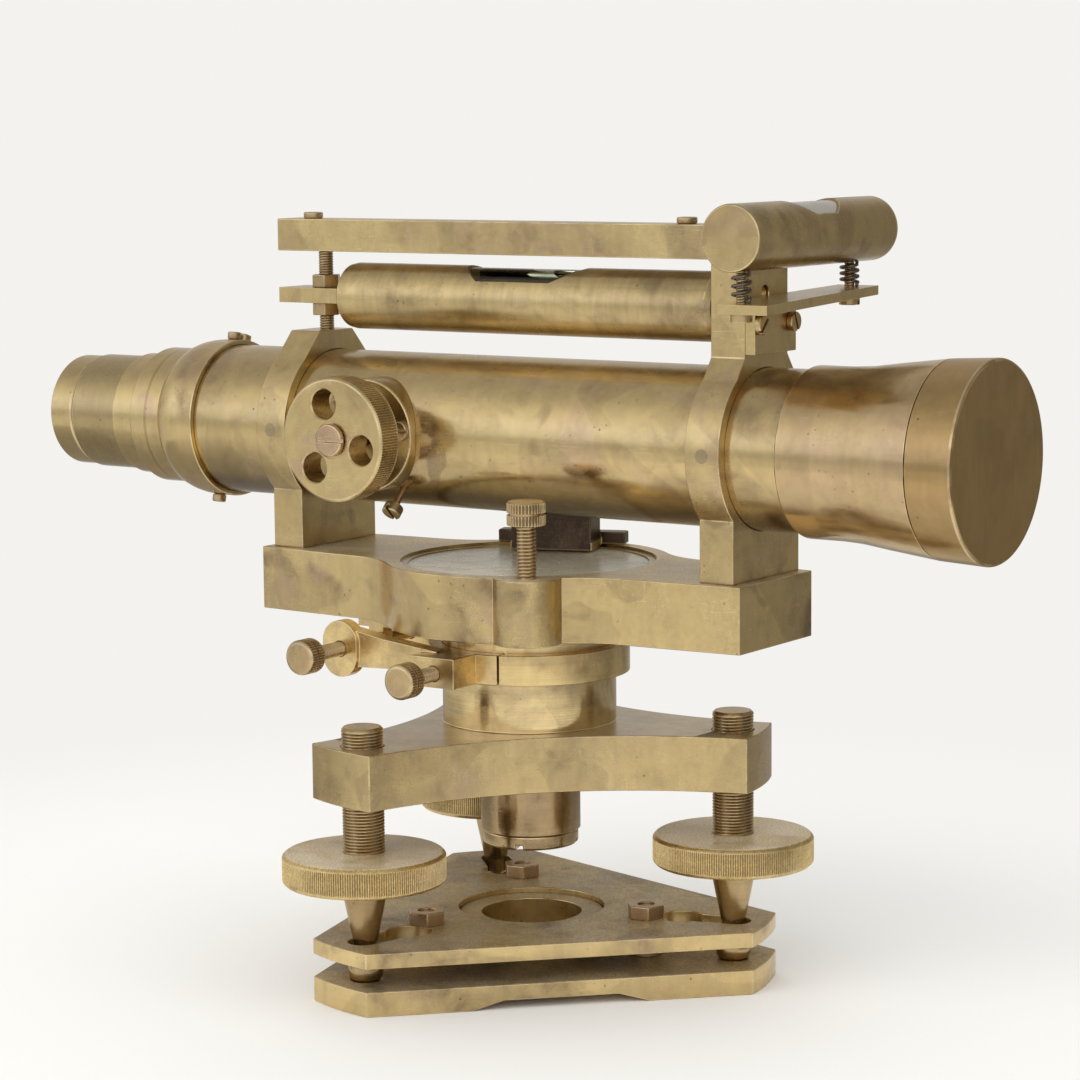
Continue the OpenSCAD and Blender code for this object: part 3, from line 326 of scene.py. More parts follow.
class Finishes:
    """Builds the shared groups once and hands out the finishes by name."""

    def __init__(self, colours):
        self.colours = {k: tuple(getattr(colours, k)) for k in LevelFinishes.__annotations__}
        self.groups = {
            "tarnish": make_tarnish(), "lathe": make_lathe_marks(), "scratches": make_scratches(),
            "pits": make_pits(), "wear": make_wear_and_shading(), "dust": make_dust(),
        }
        self.made = {}

    def place(self, net, name, **inputs):
        node = net.tree.nodes.new("ShaderNodeGroup")
        node.node_tree = self.groups[name]
        return net.feed(node, {key.replace("_", " "): value for key, value in inputs.items()}).outputs

    def start(self, name):
        """A new material: itself, its net, its shader and the place of a point in the piece."""
        material = bpy.data.materials.new(name)
        material.use_nodes = True
        material.node_tree.nodes.clear()
        net = Net(material.node_tree)
        shader = net.put("BsdfPrincipled")
        net.put("OutputMaterial", {"Surface": shader.outputs["BSDF"]})
        self.made[name] = material
        return material, net, shader, net.put("TexCoord").outputs["Object"]

    def brass(self, name, clean="brass", rough=0.30, brown=0.5, bloom=0.25, stain=0.4, dust=0.25, sand=0.25,
              marks=0.25, origin=MIDDLE, axis=Z, spacing=0.25, pits=0.25, scratches=0.5, shift=0.0,
              edge=0.6, grime=0.85, lift=1.0, coat=0.8, spot=None, rings=(), powder="dust", under=0.0):
        """Old brass. rough is the clean metal's roughness, lift makes it lighter, and the other numbers say how much
        there is of each thing. spot is a plug let into an upright face (x, z, radius). rings are (low, high, colour,
        share, soft) along the axis; some are seams, some painted shade or a painted highlight band. powder is the
        dust's colour and under
        paints shade: it darkens what faces down."""
        if name in self.made:
            return self.made[name]
        material, net, shader, here = self.start(name)
        c = self.colours
        origin = tuple(v * MM for v in origin)
        facing = net.put("NewGeometry").outputs["Normal"]
        clean_colour = tuple(min(1.0, v * lift) for v in c[clean])
        old = self.place(net, "tarnish", Vector=here, Clean=clean_colour, Brown=c["brass_dark"], Bloom=c["brass_warm"],
                         Brown_Share=brown, Bloom_Share=bloom, Stain_Share=stain, Shift=shift)
        lathe = self.place(net, "lathe", Vector=here, Origin=origin, Axis=axis, Spacing=spacing * MM)
        cut = self.place(net, "scratches", Vector=here, Share=scratches)["Mask"]
        spots = self.place(net, "pits", Vector=here, Share=pits)
        wear = self.place(net, "wear", Vector=here, Edge_Share=edge, Grime_Share=grime)
        lying = self.place(net, "dust", Vector=here, Normal=facing, Share=dust)["Mask"]
        bands = net.between(lathe["Bands"], 0.3, 0.7, 1.0 - 0.24 * marks, 1.0 + 0.12 * marks, smooth=False)
        colour = net.shade(old["Color"], bands)
        colour = net.mix(net.times(spots["Pits"], 0.75), colour, c["grime"])
        colour = net.mix(net.times(cut, 0.5), colour, c["bright"])
        # Painted shade: faces that look down are mixed towards the darkest colour.
        if under:
            colour = net.mix(net.between(net.split(facing)["Z"], -0.5, -0.88, 0.0, under), colour, c["grime"])
        for low, high, tone, part, soft in rings:
            along = net.vectors("DOT_PRODUCT", net.vectors("SUBTRACT", here, origin), axis)
            starts = net.between(along, (low - soft) * MM, low * MM, 0.0, part)
            ends = net.between(along, high * MM, (high + soft) * MM, 1.0, 0.0)
            colour = net.mix(net.times(starts, ends), colour, c[tone])
        if spot:
            east, _, height = net.split(here)
            away = net.vectors("LENGTH", net.put("CombineXYZ", {
                "X": net.minus(east, spot[0] * MM), "Y": net.minus(height, spot[1] * MM)}).outputs[0])
            plug = net.minus(1.0, net.between(away, (spot[2] - 0.12) * MM, spot[2] * MM))
            colour = net.mix(net.times(plug, 0.55), colour, (0.25, 0.20, 0.14))
        colour = net.mix(lying, colour, c[powder])
        if sand > 0.45:
            colour = net.shade(colour, net.between(net.noise(here, 1900.0, 1.0, 0.7), 0.30, 0.70, 0.72, 1.28, smooth=False))
        # Soiling with painted shade in roots and threads, then rubbed metal with painted highlight on the edge strips,
        # crests and ridges.
        colour = net.mix(wear["Grime"], colour, c["grime"])
        colour = net.mix(wear["RubbedAndHighlight"], colour, c["bright"])
        colour = net.mix(net.times(spots["Specks"], 0.5), colour, (0.72, 0.66, 0.55))
        sooty = powder == "soot"
        dull = net.most(net.times(lying, 0.95 if sooty else 0.75), net.times(wear["Grime"], 0.6))
        uneven = net.between(net.noise(here, 210.0, 2.0, 0.6), 0.3, 0.7, rough - 0.045, rough + 0.06, smooth=False)
        roughness = net.plus(net.plus(uneven, net.times(old["Tarnish"], 0.14)), net.times(lying, 0.38))
        grain = net.times(net.noise(here, 1500.0, 2.0, 0.6), 0.9 * sand)
        height = net.plus(grain, net.times(net.noise(here, 120.0, 1.0, 0.5), 0.55))
        height = net.plus(height, net.times(lathe["Height"], 0.55 * marks))
        height = net.minus(net.minus(height, net.times(cut, 0.35)), net.times(spots["Pits"], 0.5))
        net.feed(shader, {
            "Base Color": colour, "Metallic": net.minus(0.97, dull, clamp=True),
            "Roughness": net.minus(roughness, net.times(wear["RubbedAndHighlight"], 0.10), clamp=True),
            "Specular Tint": (0.32, 0.25, 0.18) if sooty else (0.88, 0.78, 0.62),
            "Specular IOR Level": 0.1 if sooty else 0.5,
            "Coat Weight": coat, "Coat Roughness": 0.20, "Coat IOR": 1.6,
        })
        net.bump(shader, height, 0.55, 0.11)
        return material

    def turned(self, name, origin, axis, **more):
        """Brass from the lathe, finer and with its rings."""
        return self.brass(name, origin=origin, axis=axis, **{
            "rough": 0.24, "marks": 0.4, "spacing": 0.22, "sand": 0.14, "dust": 0.12, **more})

    def screws(self):
        return self.brass("Screw Brass", clean="screw", rough=0.33, brown=0.8, bloom=0.5, dust=0.3, sand=0.35, pits=0.35)

    def rim(self):
        return self.brass("Window Rim", clean="brass_dark", rough=0.42, brown=0.7, stain=0.7, lift=1.6, coat=0.2)

    def steel(self):
        if "Blued Steel" in self.made:
            return self.made["Blued Steel"]
        material, net, shader, here = self.start("Blued Steel")
        spots = self.place(net, "pits", Vector=here, Share=0.5, Scale=900.0)
        rust = net.between(net.noise(here, 420.0, 4.0, 0.6), 0.55, 0.68, 0.0, 0.7)
        colour = net.mix(rust, self.colours["steel"], (0.22, 0.11, 0.05))
        net.feed(shader, {"Base Color": net.mix(spots["Pits"], colour, (0.04, 0.03, 0.03)),
                          "Metallic": net.minus(0.95, net.times(rust, 0.5)),
                          "Roughness": net.plus(0.26, net.times(rust, 0.35))})
        net.bump(shader, net.noise(here, 2400.0, 2.0), 0.3, 0.08)
        return material

    def dial(self):
        """Silvered dial: a circle of degrees, longer at the fives and tens, and a rose with four points."""
        material, net, shader, here = self.start("Silvered Dial")
        x, y, z = net.split(here)
        radius = net.maths("SQRT", net.plus(net.times(x, x), net.times(y, y)))
        angle = net.times(net.maths("ARCTAN2", y, x), 180.0 / math.pi)

        def beside(step):
            """How far the angle is from a whole number of steps, in steps."""
            return net.off(net.maths("FRACT", net.plus(net.maths("DIVIDE", angle, step), 0.5)), 0.5)
        cut = None
        for step, inner, width in ((1.0, 29.2, 0.13), (5.0, 28.3, 0.16), (10.0, 27.2, 0.20)):
            line = net.maths("LESS_THAN", net.times(beside(step), step), width)
            line = net.times(line, net.maths("GREATER_THAN", radius, inner * MM))
            cut = line if cut is None else net.most(cut, line)
        cut = net.times(cut, net.maths("LESS_THAN", radius, 30.7 * MM))
        for ring in (26.6, 30.8):
            cut = net.most(cut, net.maths("LESS_THAN", net.off(radius, ring * MM), 0.12 * MM))
        reach = net.minus(21.0 * MM, net.times(beside(90.0), 0.17))
        cut = net.most(cut, net.times(net.maths("LESS_THAN", radius, reach), 0.55))
        aged = net.between(net.noise(here, 190.0, 5.0, 0.6), 0.42, 0.66, 0.0, 0.65)
        colour = net.mix(aged, self.colours["silver"], (0.30, 0.27, 0.20))
        net.feed(shader, {"Base Color": net.mix(cut, colour, (0.03, 0.03, 0.03)), "Metallic": 0.55,
                          "Roughness": net.plus(0.38, net.times(aged, 0.25))})
        net.bump(shader, net.minus(net.noise(here, 1500.0, 2.0), cut), 0.4, 0.08)
        return material

    def bubble(self):
        """The skin of a bubble, which shows the bright room."""
        if "Bubble" in self.made:
            return self.made["Bubble"]
        material, net, shader, here = self.start("Bubble")
        net.feed(shader, {"Base Color": net.mix(net.noise(here, 260.0, 2.0), (0.95, 0.95, 0.93), (0.82, 0.83, 0.80)),
                          "Metallic": 1.0, "Roughness": 0.12})
        return material

    def glass(self, name, colour=(0.93, 0.95, 0.93), haze=0.06, ior=1.5, clear=1.0):
        if name in self.made:
            return self.made[name]
        material, net, shader, here = self.start(name)
        film = net.between(net.noise(here, 120.0, 5.0, 0.65), 0.40, 0.70)
        net.feed(shader, {"Base Color": net.mix(net.times(film, 0.25), colour, tuple(v * 0.86 for v in colour)),
                          "Roughness": net.plus(haze, net.times(film, 0.12)), "Transmission Weight": clear, "IOR": ior})
        net.bump(shader, net.noise(here, 300.0, 2.0), 0.08, 0.05)
        return material


SHARED = {}


def finishes():
    """The finishes of this run, made at the first call."""
    if "finishes" not in SHARED:
        SHARED["finishes"] = Finishes(bpy.context.scene.level_colours)
    return SHARED["finishes"]


# ---------------------------------------------------------------- meshes

def rework(mesh, *changes):
    """Runs the changes on a mesh, each with the bmesh as its only argument."""
    work = bmesh.new()
    work.from_mesh(mesh)
    for change in changes:
        change(work)
    work.to_mesh(mesh)
    work.free()
    return mesh


def face_outward(work):
    bmesh.ops.recalc_face_normals(work, faces=work.faces)


def joined(name, meshes):
    """One mesh of several."""
    return rework(bpy.data.meshes.new(name), *(lambda work, mesh=mesh: work.from_mesh(mesh) for mesh in meshes))


def add_object(name, mesh, material=None):
    """An object in the scene, smooth all over if it has a material."""
    if material:
        mesh.materials.clear()
        mesh.materials.append(material)
        mesh.polygons.foreach_set("use_smooth", [True] * len(mesh.polygons))
    thing = bpy.data.objects.new(name, mesh)
    bpy.context.scene.collection.objects.link(thing)
    return thing


def stand_for(piece):
    """The piece stands for the frame node that its name begins with."""
    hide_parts(piece.name.partition(".")[0])
    return piece


def finish_piece(mesh, name, material):
    """Turns a mesh into a piece: smooth, with its crisp edges kept, and riding on its frame node's body."""
    piece = add_object(name, mesh, material)
    mesh.set_sharp_from_angle(angle=math.radians(34.0))
    weighted = piece.modifiers.new("Even shading", "WEIGHTED_NORMAL")
    weighted.keep_sharp = True
    weighted.weight = 100
    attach(piece, BODIES[name.partition(".")[0]])
    return stand_for(piece)


def filed_mesh(node, name, width, angle=26.0):
    """A copy of a frame node with its edges rounded over, and the rounded strips marked for the lighter edge colour:
    rubbed metal and painted highlight.
    """
    work = bmesh.new()
    work.from_mesh(frame["nodes"][node].data)
    bmesh.ops.remove_doubles(work, verts=work.verts, dist=SAME_POINT)
    bmesh.ops.dissolve_limit(work, angle_limit=math.radians(0.6), verts=work.verts, edges=work.edges)
    worn = work.loops.layers.float.new("worn")
    grime = work.loops.layers.float.new("grime")
    edges = [e for e in work.edges if e.is_manifold and e.calc_face_angle(0.0) > math.radians(angle)]
    for e in edges:
        e.smooth = True
    strips = bmesh.ops.bevel(work, geom=edges, offset=width, offset_type="OFFSET", segments=2, profile=0.5,
                             affect="EDGES", clamp_overlap=False, loop_slide=True)["faces"]
    for loop in (loop for face in strips for loop in face.loops):
        loop[worn] = 1.0
        loop[grime] = 0.0
    mesh = bpy.data.meshes.new(name)
    work.to_mesh(mesh)
    work.free()
    return mesh


def filed(node, material, width=None, angle=26.0):
    name = node + ".filed"
    worn_edge = bpy.context.scene.level_sizes.worn_edge
    mesh = filed_mesh(node, name, worn_edge if width is None else width * MM, angle)
    return finish_piece(mesh, name, material)


def stand(origin, direction):
    """The matrix that takes a mesh turned round Z, in millimetres, to its place."""
    aim = Vector(direction).normalized()
    if abs(aim.z) < 0.9999:
        turn = aim.to_track_quat("Z", "Y").to_matrix().to_4x4()
    else:
        turn = Matrix.Rotation(0.0 if aim.z > 0 else math.pi, 4, "X")
    return Matrix.Scale(MM, 4) @ Matrix.Translation(Vector(origin)) @ turn


def ring_of(row, angles, mill, thread):
    """The points, the lighter ridges and crests (rubbed metal and painted highlight) and the darker cuts and roots
    (soiling and painted shade) of one ring of a turned mesh.
    """
    radius, height = row[:2]
    r = np.full(len(angles), radius)
    worn, grime = np.zeros(len(angles)), np.zeros(len(angles))
    if mill and mill[0] - 1e-6 <= height <= mill[1] + 1e-6 and radius >= mill[2] - 0.05:
        cut = np.tile([0.0, 0.0, 1.0, 1.0], mill[3])
        r = r - mill[4] * cut
        worn, grime = 0.55 * (1 - cut), 0.75 * cut
    if thread and abs(radius - thread[2]) < 1e-6:
        low, high, _, pitch, depth = thread
        phase = (height / pitch - angles / (2 * math.pi)) % 1.0
        cut = np.clip(np.abs(phase - 0.5) * 3.2 - 0.6, 0.0, 1.0)
        fade = min(1.0, max(0.0, (height - low) / pitch)) * min(1.0, max(0.0, (high - height) / pitch))
        r = r - depth * cut * fade
        worn, grime = 0.55 * np.clip(1 - 2.2 * cut, 0, 1) * fade, 0.8 * cut * fade
    return np.stack([r * np.cos(angles), r * np.sin(angles), np.full(len(angles), height)], 1), worn, grime


def turned_mesh(name, rows, steps=72, mill=None, thread=None):
    """A turned mesh round Z in millimetres. rows are (radius, height) or (radius, height, "edge") where the strip up to
    that row is a rounded edge. They run from the axis back to the axis, or round a bored shape, anticlockwise with the
    axis on the left. mill is (low, high, radius, cuts, depth); thread is (low, high, radius, pitch, depth)."""
    line = []
    for k, row in enumerate(rows):
        radius, height = row[:2]
        if thread and k and abs(radius - thread[2]) < 1e-6 and abs(rows[k - 1][0] - thread[2]) < 1e-6:
            start = rows[k - 1][1]
            count = max(2, int(math.ceil(abs(height - start) / (thread[3] / 6))))
            line += [(radius, start + (height - start) * i / count, False) for i in range(1, count)]
        line.append((radius, height, len(row) > 2))
    if mill:
        steps = mill[3] * 4
    angles = np.arange(steps) * 2 * math.pi / steps
    points, values, dirt_and_shade, first = [], [], [], []
    for row in line:
        first.append(len(points))
        if row[0] == 0:
            points.append((0.0, 0.0, row[1]))
            values.append(0.0)
            dirt_and_shade.append(0.0)
        else:
            ring, worn, grime = ring_of(row, angles, mill, thread)
            points.extend(map(tuple, ring))
            values.extend(worn)
            dirt_and_shade.extend(grime)
    pairs = list(zip(range(len(line)), range(1, len(line))))
    if rows[0][0] > 0:
        pairs.append((len(line) - 1, 0))
    faces, on_edge = [], []
    for a, b in pairs:
        for j in range(steps):
            k = (j + 1) % steps
            if line[a][0] == 0:
                face = (first[a], first[b] + k, first[b] + j)
            elif line[b][0] == 0:
                face = (first[a] + j, first[a] + k, first[b])
            else:
                face = (first[a] + j, first[a] + k, first[b] + k, first[b] + j)
            faces.append(face)
            on_edge.append(line[b][2])
    mesh = bpy.data.meshes.new(name)
    mesh.from_pydata(points, [], faces)
    for label, given in (("worn", values), ("grime", dirt_and_shade)):
        data = []
        for face, edge in zip(faces, on_edge):
            data += [1.0 if edge and label == "worn" else given[v] for v in face]
        mesh.attributes.new(label, "FLOAT", "CORNER").data.foreach_set("value", data)
    return mesh


def turned(name, rows, origin, direction, material, slot, **more):
    mesh = turned_mesh(name, rows, **more)
    mesh.transform(stand(origin, direction))
    return finish_piece(mesh, name, material)


def rounded(rows):
    """Cuts each marked corner of a profile into two strips. A row's third value is the size of its rounding."""
    out = []
    for k, row in enumerate(rows):
        if len(row) < 3:
            out.append(row)
            continue
        here = Vector(row[:2])
        one, two = (here + way.normalized() * min(row[2], way.length * 0.45)
                    for way in (Vector(rows[j % len(rows)][:2]) - here for j in (k - 1, k + 1)))
        middle = (one + two) * 0.5 * 0.55 + here * 0.45
        out += [tuple(one), (*middle, "edge"), (*two, "edge")]
    return out


def arc(radius, start, step, count):
    """Points round a circle, from start by steps of degrees: (cosine, sine) times the radius."""
    return [(radius * math.cos(a), radius * math.sin(a)) for a in (math.radians(start + step * j) for j in range(count))]


def cut_out(mesh, cutters, name, how="DIFFERENCE"):
    """mesh with the cutter meshes taken away from it, or joined to it."""
    body = add_object(name, mesh)
    knives = [add_object(f"{name}.knife{k}", cutter) for k, cutter in enumerate(cutters)]
    for knife in knives:
        modifier = body.modifiers.new("Cut", "BOOLEAN")
        modifier.operation, modifier.solver, modifier.object = how, "EXACT", knife
    bpy.context.view_layer.update()
    done = bpy.data.meshes.new_from_object(body.evaluated_get(bpy.context.evaluated_depsgraph_get()))
    for thing in [body, *knives]:
        bpy.data.objects.remove(thing)
    return done


def wire_mesh(name, path, radius, sides=14):
    """A round wire along a path of points, in millimetres, with domed ends."""
    path = [Vector(p) for p in path]
    last = len(path) - 1
    points, faces = [], []
    normal = Vector((0.3, 0.2, 1.0))
    for k, here in enumerate(path):
        ahead = (path[min(k + 1, last)] - path[max(k - 1, 0)]).normalized()
        normal = (normal - ahead * normal.dot(ahead)).normalized()
        points += [here + radius * (c * normal + s * ahead.cross(normal)) for c, s in arc(1, 0, 360 / sides, sides)]
    for k in range(last):
        for j in range(sides):
            m = (j + 1) % sides
            faces.append((k * sides + j, k * sides + m, (k + 1) * sides + m, (k + 1) * sides + j))
    for ring, end, inner in ((0, 0, 1), (last, -1, -2)):
        points.append(path[end] + (path[end] - path[inner]).normalized() * radius * 0.6)
        pairs = [(ring * sides + j, ring * sides + (j + 1) % sides) for j in range(sides)]
        faces += [(*(pair if ring else pair[::-1]), len(points) - 1) for pair in pairs]
    mesh = bpy.data.meshes.new(name)
    mesh.from_pydata([tuple(p * MM) for p in points], [], faces)
    mesh.validate()
    return rework(mesh, face_outward)


def keep(node, material):
    """Gives a frame node that stays its finish."""
    for place in frame["nodes"][node].material_slots:
        place.material = material


def share(piece, material, test):
    """A second finish for the faces whose middle (in millimetres) and normal pass the test."""
    piece.data.materials.append(material)
    number = len(piece.data.materials) - 1
    for face in piece.data.polygons:
        if test(face.center / MM, face.normal):
            face.material_index = number
    return piece


def thumb_screw(node, origin, direction, head_r, head_t, stem_r, stem_l, cuts, pitch, material, cut=0.28):
    """A milled head with a groove round it and a threaded stem, as the frame's own screw."""
    rows = rounded([
        (0, -stem_l), (stem_r - 0.4, -stem_l), (stem_r, 0.4 - stem_l), (stem_r, -0.02),
        (stem_r, 0), (head_r, 0, 0.4), (head_r, head_t * 0.42, 0.12), (head_r - 0.5, head_t * 0.43),
        (head_r - 0.5, head_t * 0.51), (head_r, head_t * 0.52, 0.12), (head_r, head_t - 0.75, 0.2),
        (head_r - 0.35, head_t - 0.32, 0.25), (head_r - 0.85, head_t - 0.1, 0.25), (head_r * 0.5, head_t - 0.03), (0, head_t),
    ])
    turned(node + ".milled", rows, origin, direction, material, "screw_brass",
           mill=(0.35, head_t - 0.7, head_r, cuts, cut), thread=(-stem_l, 0.3, stem_r, pitch, pitch * 0.42))


# ---------------------------------------------------------------- operators, from the ground up

class LEVEL_OT_base_plates(bpy.types.Operator):
    """The two three-cornered plates, with their studs and nuts"""
    bl_idname = "level.base_plates"
    bl_label = "Base plates"

    def execute(self, context):
        f = finishes()
        top = f.brass("Dusty Plate", rough=0.40, brown=0.85, bloom=0.15, stain=0.6, dust=0.85, sand=0.9, pits=0.55,
                      scratches=0.25, lift=1.05, edge=0.35, coat=0.25)
        side = f.brass("Plate Side", stain=0.5, brown=0.55, dust=0.2, sand=0.2, pits=0.5, lift=1.15)
        for node in ("base_plate", "locking_plate"):
            share(filed(node, side, 0.3), top, lambda c, n: n.z > 0.6)
        nut = f.brass("Nut Bronze", clean="brass_warm", brown=0.6, bloom=0.0, dust=0.3, sand=0.3, pits=0.35,
                      lift=0.92, coat=0.4)
        filed("trivet_nuts", nut, 0.3)
        filed("trivet_studs", f.screws(), 0.25)
        return {"FINISHED"}


class LEVEL_OT_foot_screws(bpy.types.Operator):
    """The three levelling screws: ball, neck, cone and thread, with their milled heads"""
    bl_idname = "level.foot_screws"
    bl_label = "Levelling screws"

    def execute(self, context):
        f = finishes()
        sizes = context.scene.level_sizes
        ball = [(c, 9 + s) for c, s in arc(4.6, -78, 12, 11)]
        screw = rounded([(0, 4.4), *ball, (3.0, 12.6), (3.0, 16.6), (3.2, 16.8), (4.75, 24.4), (6.0, 30.6),
                         (6.3, 31.6, 0.12), (6.3, 32.02), (5.4, 32.02, 0.12), (5.4, 72.0), (4.8, 72.6), (0, 72.6)])
        disc = rounded([(5.42, 32.0), (20.2, 32.0, 0.3), (21.09, 32.9, 0.3), (21.09, 39.1, 0.3), (20.2, 40.0, 0.3), (5.42, 40.0)])
        for k, (side, degrees) in enumerate(FEET.items()):
            place = (FEET_RADIUS * math.cos(math.radians(degrees)), FEET_RADIUS * math.sin(math.radians(degrees)), 0)
            brass = f.turned(f"Foot Screw {side.title()}", place, Z, clean="screw", rough=0.18, brown=0.6, marks=0.5,
                             stain=0.7, sand=0.05, shift=0.31 * k, lift=0.87, grime=1.0, edge=0.35, coat=0.5)
            head = f.turned(f"Foot Head {side.title()}", place, Z, rough=0.33, brown=0.35, bloom=0.45, marks=0.35,
                            sand=0.9, dust=1.0, pits=0.45, shift=0.23 * k, lift=1.28, coat=0.3, powder="pale")
            turned(f"foot_screw_{side}.turned", screw, place, Z, brass, "screw_brass", steps=60,
                   thread=(39.9, 72.2, 5.4, sizes.foot_pitch / MM, 0.42))
            turned(f"foot_knob_{side}.milled", disc, place, Z, head, "turned_brass",
                   mill=(32.9, 39.1, 21.09, sizes.foot_milling, 0.24))
        return {"FINISHED"}


class LEVEL_OT_tribrach(bpy.types.Operator):
    """The three-armed plate, its hub, the sleeve below it and the slotted nut"""
    bl_idname = "level.tribrach"
    bl_label = "Tribrach and sleeve"

    def execute(self, context):
        f = finishes()
        cast = f.brass("Tribrach Brass", rough=0.26, brown=0.55, bloom=0.6, stain=0.55, dust=0.45, sand=0.4,
                       scratches=0.8, pits=0.3, lift=0.94)
        hub = f.turned("Hub Brass", MIDDLE, Z, clean="polished", rough=0.09, bloom=0.2, stain=0.95, marks=0.45,
                       spacing=0.35, shift=1.4, sand=0.0, lift=1.15)
        top = f.brass("Dusty Tribrach", rough=0.45, brown=0.95, bloom=0.2, stain=0.7, dust=1.2, sand=1.0, pits=0.6,
                      scratches=0.2, lift=0.8, edge=0.4, coat=0.0, shift=0.6, powder="soot")
        piece = filed("tribrach", cast, 0.3)
        share(piece, top, lambda c, n: n.z > 0.8 and math.hypot(c.x, c.y) > 23.5 and c.z > 60)
        share(piece, hub, lambda c, n: math.hypot(c.x, c.y) < 24 and (c.z > 67.6 or abs(n.z) < 0.5))
        sleeve = f.turned("Sleeve Brass", MIDDLE, Z, clean="screw", rough=0.11, brown=0.75, stain=0.9, marks=0.45,
                          spacing=0.3, sand=0.0, shift=0.9, coat=0.5, lift=0.84)
        filed("bearing_sleeve", sleeve, 0.2)
        filed("sleeve_nut", sleeve, 0.3)
        return {"FINISHED"}


class LEVEL_OT_limb(bpy.types.Operator):
    """The long limb with its round middle, the spindle and the tongue for the slow motion"""
    bl_idname = "level.limb"
    bl_label = "Limb and spindle"

    def execute(self, context):
        f = finishes()
        side = f.brass("Limb Side", lift=1.1, rough=0.22, brown=0.7, bloom=0.55, stain=0.6, dust=0.1, sand=0.3,
                       scratches=0.9, pits=0.4, shift=0.17)
        top = f.brass("Limb Top", rough=0.34, brown=0.4, bloom=0.3, stain=0.5, dust=0.8, sand=0.6, shift=0.55, lift=1.3,
                      coat=0.4, powder="pale")
        share(filed("limb", side, 0.28, angle=40.0), top, lambda c, n: n.z > 0.7)
        filed("limb_tongue", side)
        keep("spindle", f.turned("Spindle Brass", MIDDLE, Z))
        return {"FINISHED"}


class LEVEL_OT_compass(bpy.types.Operator):
    """The compass: silvered dial, blued needle, hazy glass and its ring"""
    bl_idname = "level.compass"
    bl_label = "Compass"

    def execute(self, context):
        f = finishes()
        keep("compass_dial", f.dial())
        filed("compass_needle", f.steel(), 0.08)
        keep("compass_glass", f.glass("Compass Glass", (0.78, 0.70, 0.52), haze=0.22, clear=0.35))
        ring = f.turned("Glass Ring", MIDDLE, Z, rough=0.30, brown=0.6, dust=0.5, marks=0.5)
        filed("glass_ring", ring, 0.15)
        return {"FINISHED"}


class LEVEL_OT_needle_lift(bpy.types.Operator):
    """The milled screw that lifts the needle"""
    bl_idname = "level.needle_lift"
    bl_label = "Needle lift screw"

    def execute(self, context):
        sizes = context.scene.level_sizes
        brass = finishes().turned("Lift Screw Brass", (*LIFT, 0), Z, clean="screw", rough=0.22, brown=0.25, bloom=0.55,
                                  marks=0.3, grime=1.0, edge=0.4, lift=1.05)
        thumb_screw("needle_lift_screw", (*LIFT, 124.0), Z, 5.0, 6.4, 2.5, 29.0,
                    sizes.thumb_milling - 8, sizes.lift_pitch / MM, brass, cut=0.34)
        return {"FINISHED"}


class LEVEL_OT_clamp(bpy.types.Operator):
    """The clamp under the limb and its slow motion"""
    bl_idname = "level.clamp"
    bl_label = "Clamp and slow motion"

    def execute(self, context):
        f = finishes()
        sizes = context.scene.level_sizes
        collar = f.turned("Clamp Brass", MIDDLE, Z, bloom=0.4, stain=0.7, marks=0.5, dust=0.2, shift=0.7, lift=1.4)
        filed("clamp_collar", collar, 0.25)
        keep("clamp_pad", collar)
        for node, place, stem in (("clamp_screw", (-5, -46, 84.3), 18.3), ("tangent_screw", (-36.5, -46.6, 87.9), 27.3)):
            brass = f.turned(node.replace("_", " ").title() + " Brass", place, Y, clean="screw", rough=0.26, brown=0.4,
                             bloom=0.5, grime=1.0, edge=0.45)
            thumb_screw(node, place, (0, -1, 0), 4.6, 5.7, 2.0, stem, sizes.thumb_milling - 4,
                        sizes.fine_pitch / MM, brass)
        filed("plunger", f.turned("Plunger Brass", (-36.5, 0, 87.9), Y), 0.2)
        return {"FINISHED"}


class LEVEL_OT_supports(bpy.types.Operator):
    """The two rings for the telescope, their screws, and the bracket behind the compass"""
    bl_idname = "level.supports"
    bl_label = "Telescope rings"

    def execute(self, context):
        f = finishes()
        for side, shift, middle in (("rear", 0.2, -68.0), ("front", 1.3, 68.0)):
            # The dark line at 110.3 mm, low on each ring where it meets the limb, is painted shade with soiling; the
            # spot is a plug.
            brass = f.brass(f"Ring Brass {side.title()}", rough=0.22, bloom=0.55, stain=0.55, sand=0.15, scratches=0.9,
                            pits=0.35, lift=1.05, rings=((110.3, 110.75, "grime", 0.6, 0.3),), shift=shift,
                            spot=(middle, SCOPE_Z, 1.9))
            filed("support_" + side, brass, 0.28)
        keep("support_screws", f.screws())
        bracket = f.brass("Bracket Brass", rough=0.36, brown=0.7, bloom=0.5, stain=0.6, sand=0.5, pits=0.5, dust=0.3)
        # The block at the top of the rear bracket is painted almost black: painted shade, as it lies in the tube's
        # shadow.
        block = f.brass("Browned Block", clean="grime", rough=0.42, brown=0.3, bloom=0.1, stain=0.7, sand=0.6, pits=0.4,
                        dust=0.35, edge=0.15, coat=0.3)
        share(filed("rear_bracket", bracket, 0.4), block, lambda c, n: c.z > 112.0)
        return {"FINISHED"}


